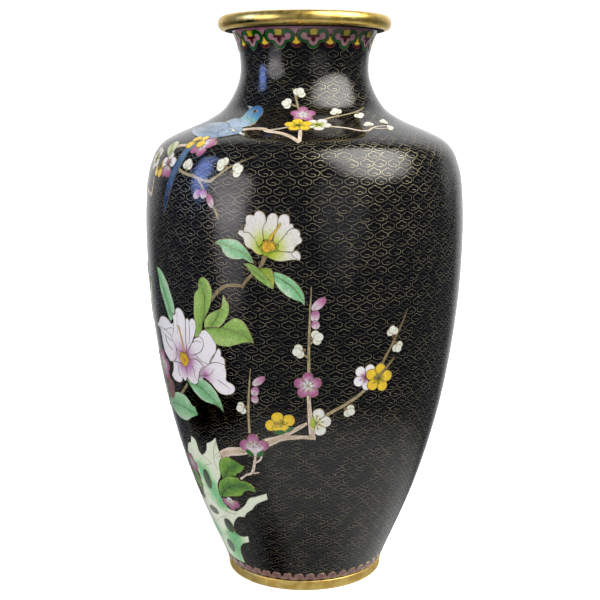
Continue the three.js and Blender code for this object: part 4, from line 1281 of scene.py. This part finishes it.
# ---- The left side and the back ----
def side_tree():
    """The plum's trunk behind the rock, up to the flowers under the bird."""
    piece = Inlay("inlay_side_trunk", "bark_enamel", -95)
    limb(piece, [(12, 58, 6), (8, 76, 5.6), (-3, 94, 5.2), (-6, 110, 4.8), (3, 126, 4.4), (7, 144, 4),
                 (1, 162, 3.6), (-5, 178, 3.2), (-2, 194, 2.8), (8, 208, 2.6), (22, 218, 2.4)], 0,
         marks=20)
    limb(piece, [(-6, 108, 3.6), (-18, 116, 3), (-27, 128, 2.6), (-30, 144, 2), (-38, 156, 1.6),
                 (-41, 170, 0.8)], 0, marks=9)
    limb(piece, [(-5, 178, 2.6), (-16, 188, 2.2), (-24, 192, 1.8), (-34, 204, 1.4), (-36, 216, 0.7)], 0,
         marks=7)
    limb(piece, [(6, 140, 2.4), (14, 148, 2), (17, 160, 1.6), (24, 168, 1.2), (25, 178, 0.6)], 0,
         marks=5)
    limb(piece, [(4, 82, 2.8), (-8, 84, 2.2), (-19, 80, 1.8), (-27, 84, 1.2), (-34, 82, 0.6)], 0,
         marks=5)
    for x, y, size, angle in ((-33, 148, 3.3, 20), (-42, 160, 3.2, 190), (-37.4, 172, 3, 60),
                              (-20, 194.6, 3.3, 80), (-38, 212, 3.1, 190), (21, 173, 3.2, 170),
                              (28, 166, 3.2, -20), (-22, 86, 3.2, 90), (-30, 80, 3, -80)):
        bud(piece, x, y, size, angle)
    for x, y, size, slim, angle in ((-26, 136, 3.6, 0.55, 40), (-32.4, 137, 3, 0.7, 130),
                                    (-29, 199, 3.6, 0.52, 60), (20, 154, 3.4, 0.55, 30)):
        closed_bud(piece, x, y, size, slim, angle)
    piece.build()


def side_flowers():
    """Blossoms and leaves on and beside the trunk."""
    piece = Inlay("inlay_side_blossoms", "pink_enamel", -95)
    blossom(piece, -19, 118, 8, pink, facing=80, inner=cream)
    blossom(piece, 4, 167, 8, white, facing=62)
    blossom(piece, -6, 172, 7.6, yellow, facing=100, layer=3)
    blossom(piece, -14, 188, 7.4, pink, facing=50, inner=cream)
    blossom(piece, 15, 150, 7.2, yellow, facing=84)
    blossom(piece, -9, 84, 7.6, yellow, facing=75)
    blossom(piece, 5, 204, 7.4, white, facing=30)
    piece.build()
    piece = Inlay("inlay_side_leaves", "leaf_enamel", -80)
    leaf(piece, loop([(14, 120), (8, 126), (0, 127), (-6, 121), (-2, 114), (6, 113)]), lobed,
         [(13, 119.6), (5, 119.6), (-4.6, 120.6)], layer=2, veins=3)
    leaf(piece, loop([(1, 96), (8, 100), (11, 107), (8, 114), (1, 113), (-3, 105)]), leaf_green,
         [(1.4, 96.8), (5, 105), (7.4, 113)], layer=1, veins=3)
    outline = shape([(-22, 62), (-16, 68), (-10, 70), (-3, 67)], [(3, 60), (-4, 57), (-12, 56.6)])
    leaf(piece, outline, lobed, [(-20.6, 62.2), (-11, 63.4), (1.6, 60.4)], layer=1, veins=3)
    piece.build()
    piece = Inlay("inlay_low_side_blossom", "pink_enamel", -70)
    blossom(piece, 8, 67, 6.4, pink, facing=70, layer=1, inner=cream)
    leaf(piece, loop([(1, 60), (6, 62), (11, 59), (12, 54), (7, 52), (2, 55)]), lobed,
         [(1.6, 59.6), (7, 57.4), (11.4, 54.6)], layer=0, reach=4)
    piece.build()
    piece = Inlay("inlay_limb_blossom", "pink_enamel", -75)
    blossom(piece, 10, 123, 9, pink, facing=80, inner=cream)
    outline = shape([(12, 115), (16, 117), (20, 113)], [(18, 108), (12, 104), (9, 108)])
    piece.cell(outline, dusty_rose, 0.2, layer=1)
    outline = shape([(-10, 150), (-6, 158), (0, 166)], [(4, 170), (6, 164), (2, 156), (-4, 150)])
    leaf(piece, outline, mint, [(-7.6, 151), (-1, 159), (3.6, 168)], layer=1, reach=4)
    piece.build()


# ---- The ground's scrolls ----
SCROLL = [(-0.8, -0.6), (0.7, -0.6), (1.4, -1.0), (1.1, -1.65), (0.2, -1.95), (-1.0, -1.85),
          (-2.3, -1.45), (-3.1, -0.85), (-3.35, -0.1), (-3.1, 0.6), (-2.3, 0.95), (-1.4, 1.2),
          (-0.9, 1.75), (0, 1.95), (0.9, 1.75), (1.4, 1.2), (2.3, 0.95), (3.1, 0.6), (3.35, -0.1),
          (3.1, -0.85), (2.4, -1.35), (1.8, -1.55)]


def hidden(angle, length):
    """Which points of the wall lie under a motif's cells."""
    found = np.zeros(len(angle), bool)
    for outline in covered:
        if outline[:, 1].max() < length.min() or outline[:, 1].min() > length.max():
            continue
        turns = np.round((angle - outline[:, 0].mean()) / (2 * math.pi)) * 2 * math.pi
        points = np.stack([angle - turns, length], -1)
        low, high = outline.min(0), outline.max(0)
        near = ((points >= low) & (points <= high)).all(1) & ~found
        if near.any():
            found[near] = inside(points[near], outline)
    return found


def ground_scrolls():
    """Rows of scrolls between the borders, in bands of rows, with gaps where motifs lie."""
    template = smooth_line(SCROLL, 0.7)
    rows = np.arange(FOOT_BAND_TOP + 2.6, COLLAR_BOTTOM - 1.8, SCROLL_ROW)
    bands = np.array_split(np.arange(len(rows)), SCROLL_BANDS)
    for number, band in enumerate(bands, 1):
        piece = Inlay(f"ground_scrolls_{number}", "brass", 0)
        for row in band:
            row_of_scrolls(piece, rows[row], 0.5 * (row % 2), template)
        piece.build()


def row_of_scrolls(piece, y, phase, template):
    """One row of hand-bent scrolls, cut where a motif covers them."""
    radius = float(section(y)[0])
    count = round(2 * math.pi * radius / SCROLL_PITCH)
    pitch = 2 * math.pi / count
    lines = []
    for _ in range(count):
        turn, size = random.gauss(0, 2.0), random.gauss(1, 0.03)
        c, s = toward(turn) * size
        line = template @ np.array([[c, s], [-s, c]])
        line[:, 0] *= pitch * radius / SCROLL_PITCH
        lines.append(line + (random.gauss(0, 0.15), y + random.gauss(0, 0.08)))
    angles = (np.arange(count) + phase) * pitch
    everywhere = np.stack(lines)
    shown = ~hidden((angles[:, None] + everywhere[..., 0] / radius).ravel(), everywhere[..., 1].ravel())
    for angle, line, clear in zip(angles, lines, shown.reshape(count, -1)):
        piece.meridian = math.degrees(angle)
        start = 0
        for at in range(len(line) + 1):
            if at < len(line) and clear[at]:
                continue
            if at - start > 2:
                ground_wire(piece, line[start:at])
            start = at + 1


def ground_wire(piece, line):
    """A thin wire with a ridge for its crest."""
    along = np.gradient(line, axis=0)
    side = np.stack([-along[:, 1], along[:, 0]], -1)
    side *= SCROLL_WIRE / np.linalg.norm(along, axis=1)[:, None]
    corners = [on_wall(piece.meridian, line + side, SCROLL_FOOT),
               on_wall(piece.meridian, line, SCROLL_CREST),
               on_wall(piece.meridian, line - side, SCROLL_FOOT)]
    piece.prism(corners, False, ground_gold)


# ---- Studio ----
CAMERA_PLACE = (0, -0.603, 0.2533)  # metres
CAMERA_TILT = 9.535  # degrees below level
CAMERA_LENS = 65.99
CAMERA_SENSOR = 36
CAMERA_SHIFT = -0.00767  # moves the vase right by this share of the picture's width
# Fill lights: name, azimuth, elevation, distance and size in metres, radiance
FILLS = [
    ("overhead_light", 0, 78, 1.6, 1.4, 0.4),
    ("front_left_light", -45, 30, 1.5, 1.0, 1.6),
    ("low_left_light", -62, -18, 1.5, 1.0, 2.7),
]
FILL_TARGET = Vector((0, 0, 0.2))
BACKDROP = (1.2, 1.2, 1.2, 1)  # white behind the vase, for the camera alone
ROOM = (0.085, 0.095, 0.11)  # radiance of the dim room
# Broad patches of the room's white: way towards the middle, cosines at edge and core, radiance
ROOM_WHITES = [
    ((0, 0.94, 0.34), 0.58, 0.88, (0.85, 0.85, 0.86)),
    ((0, 0.1, -0.995), 0.46, 0.64, (0.7, 0.7, 0.71)),
]
# Soft lights of the room: azimuth, elevation, radius of the core, radius of the edge, radiance.
# The two whose radiance is negative are shade, near the foot and low on the left.
ROOM_LIGHTS = [
    (62, 46, 13, 35, (6.8, 6.7, 6.6)),
    (-54, 12, 8, 21, (2.9, 2.8, 3.0)),
    (-53, -5, 5, 16, (1.2, 1.15, 1.25)),
    (26, 6, 8, 24, (0.4, 0.4, 0.44)),
    (0, -90, 18, 38, (-0.4, -0.4, -0.4)),
    (-90, -50, 14, 38, (-0.45, -0.45, -0.45)),
    (126, 7, 3, 12, (0.35, 0.35, 0.36)),
    (-133, 6, 3, 14, (0.3, 0.3, 0.31)),
]
# Sky in a window, which only the gloss picks up
SKY_LIGHTS = [
    (-80, 10, 3, 10, (2.0, 3.0, 7.5)),
    (-82, 22, 3, 10, (2.2, 3.3, 8.5)),
    (-84, 33, 3, 9, (1.5, 2.2, 5.0)),
]


def floor():
    """A pale floor that only the camera sees."""
    size = 6.0  # metres from the middle to a side
    mesh = bpy.data.meshes.new("studio_floor")
    mesh.from_pydata([(-size, -size, 0), (size, -size, 0), (size, size, 0), (-size, size, 0)], [],
                     [(0, 1, 2, 3)])
    obj = bpy.data.objects.new("studio_floor", mesh)
    obj.visible_glossy = False
    obj.visible_diffuse = False
    obj.visible_shadow = False
    bpy.context.scene.collection.objects.link(obj)
    made = Shader("floor_white", Roughness=0.7, Specular_IOR_Level=0.1, Emission_Strength=0.7)
    made.principled.inputs["Emission Color"].default_value = (1, 1, 1, 1)
    made.link(made.ramp(made.noise(60, 2), [(0, (246, 246, 246)), (1, (252, 252, 252))]), "Base Color")
    mesh.materials.append(made.material)


def direction(azimuth, elevation):
    """A way out from the vase, round from the front towards +X and above the horizon."""
    a, e = math.radians(azimuth), math.radians(elevation)
    return Vector((math.sin(a) * math.cos(e), -math.cos(a) * math.cos(e), math.sin(e)))


def fill_light(name, azimuth, elevation, away, size, radiance):
    """A large area light that lights the enamel without showing in its gloss."""
    light = bpy.data.lights.new(name, "AREA")
    light.shape = "DISK"
    light.size = size
    area = math.pi * size**2 / 4
    light.energy = radiance * math.pi * area
    obj = bpy.data.objects.new(name, light)
    way = direction(azimuth, elevation)
    obj.location = way * away + FILL_TARGET
    obj.rotation_euler = way.to_track_quat("Z", "Y").to_euler()
    obj.visible_glossy = False
    bpy.context.scene.collection.objects.link(obj)


def studio_world():
    """White all round for the camera, and for light a dark room with a white backdrop behind."""
    world = bpy.data.worlds.new("studio")
    bpy.context.scene.world = world
    world.use_nodes = True
    tree = world.node_tree

    def vector_math(operation, a, b):
        made = tree.nodes.new("ShaderNodeVectorMath")
        made.operation = operation
        slots = [made.inputs[0], made.inputs["Scale"] if operation == "SCALE" else made.inputs[1]]
        for slot, value in zip(slots, (a, b)):
            if isinstance(value, bpy.types.NodeSocket):
                tree.links.new(value, slot)
            else:
                slot.default_value = value
        return made.outputs["Value" if operation == "DOT_PRODUCT" else "Vector"]

    def patch(way, edge, core, radiance):
        """Light round a direction: full where the cosine passes core, and none below edge."""
        glow = tree.nodes.new("ShaderNodeMapRange")
        glow.interpolation_type = "SMOOTHSTEP"
        glow.inputs["From Min"].default_value = edge
        glow.inputs["From Max"].default_value = core
        tree.links.new(vector_math("DOT_PRODUCT", outward, way), glow.inputs["Value"])
        return vector_math("SCALE", radiance, glow.outputs["Result"])

    outward = tree.nodes.new("ShaderNodeTexCoord").outputs["Generated"]
    light = vector_math("ADD", patch(*ROOM_WHITES[0]), ROOM)
    for white in ROOM_WHITES[1:]:
        light = vector_math("MAXIMUM", light, patch(*white))
    path = tree.nodes.new("ShaderNodeLightPath")
    for azimuth, elevation, core, edge, radiance in ROOM_LIGHTS + SKY_LIGHTS:
        limits = math.cos(math.radians(edge)), math.cos(math.radians(core))
        glow = patch(direction(azimuth, elevation), *limits, radiance)
        if (azimuth, elevation, core, edge, radiance) in SKY_LIGHTS:
            glow = vector_math("SCALE", glow, path.outputs["Is Glossy Ray"])
        light = vector_math("ADD", light, glow)
    mixed = tree.nodes.new("ShaderNodeMixShader")
    room, white_room = tree.nodes["Background"], tree.nodes.new("ShaderNodeBackground")
    white_room.inputs["Color"].default_value = BACKDROP
    tree.links.new(light, room.inputs["Color"])
    tree.links.new(path.outputs["Is Camera Ray"], mixed.inputs["Fac"])
    tree.links.new(room.outputs["Background"], mixed.inputs[1])
    tree.links.new(white_room.outputs["Background"], mixed.inputs[2])
    tree.links.new(mixed.outputs["Shader"], tree.nodes["World Output"].inputs["Surface"])


def camera():
    """A camera in front of the vase at the height of its neck, looking slightly down."""
    data = bpy.data.cameras.new("camera")
    data.lens, data.sensor_width = CAMERA_LENS, CAMERA_SENSOR
    data.shift_x = CAMERA_SHIFT
    data.clip_start, data.clip_end = 0.05, 50
    obj = bpy.data.objects.new("camera", data)
    obj.location = CAMERA_PLACE
    obj.rotation_euler = (math.radians(90 - CAMERA_TILT), 0, 0)
    bpy.context.scene.collection.objects.link(obj)
    bpy.context.scene.camera = obj


def studio():
    """The camera, the floor and the light."""
    camera()
    floor()
    studio_world()
    for fill in FILLS:
        fill_light(*fill)
    view = bpy.context.scene.view_settings
    view.view_transform = "Standard"
    view.look = "None"


studio()
copper_shell()
linings()
foot_ring()
rim_ring()
under_rim()
black_coat()
foot_border()
collar_border()
bird()
neck_branches()
neck_blossoms()
shoulder_cluster()
shoulder_twig()
white_peony()
peony_leaves()
peony_stem()
side_leaves()
pink_peony()
pink_peony_leaves()
middle_branches()
middle_blossoms()
lower_branches()
scholar_rock()
rock_leaves()
side_tree()
side_flowers()
ground_scrolls()
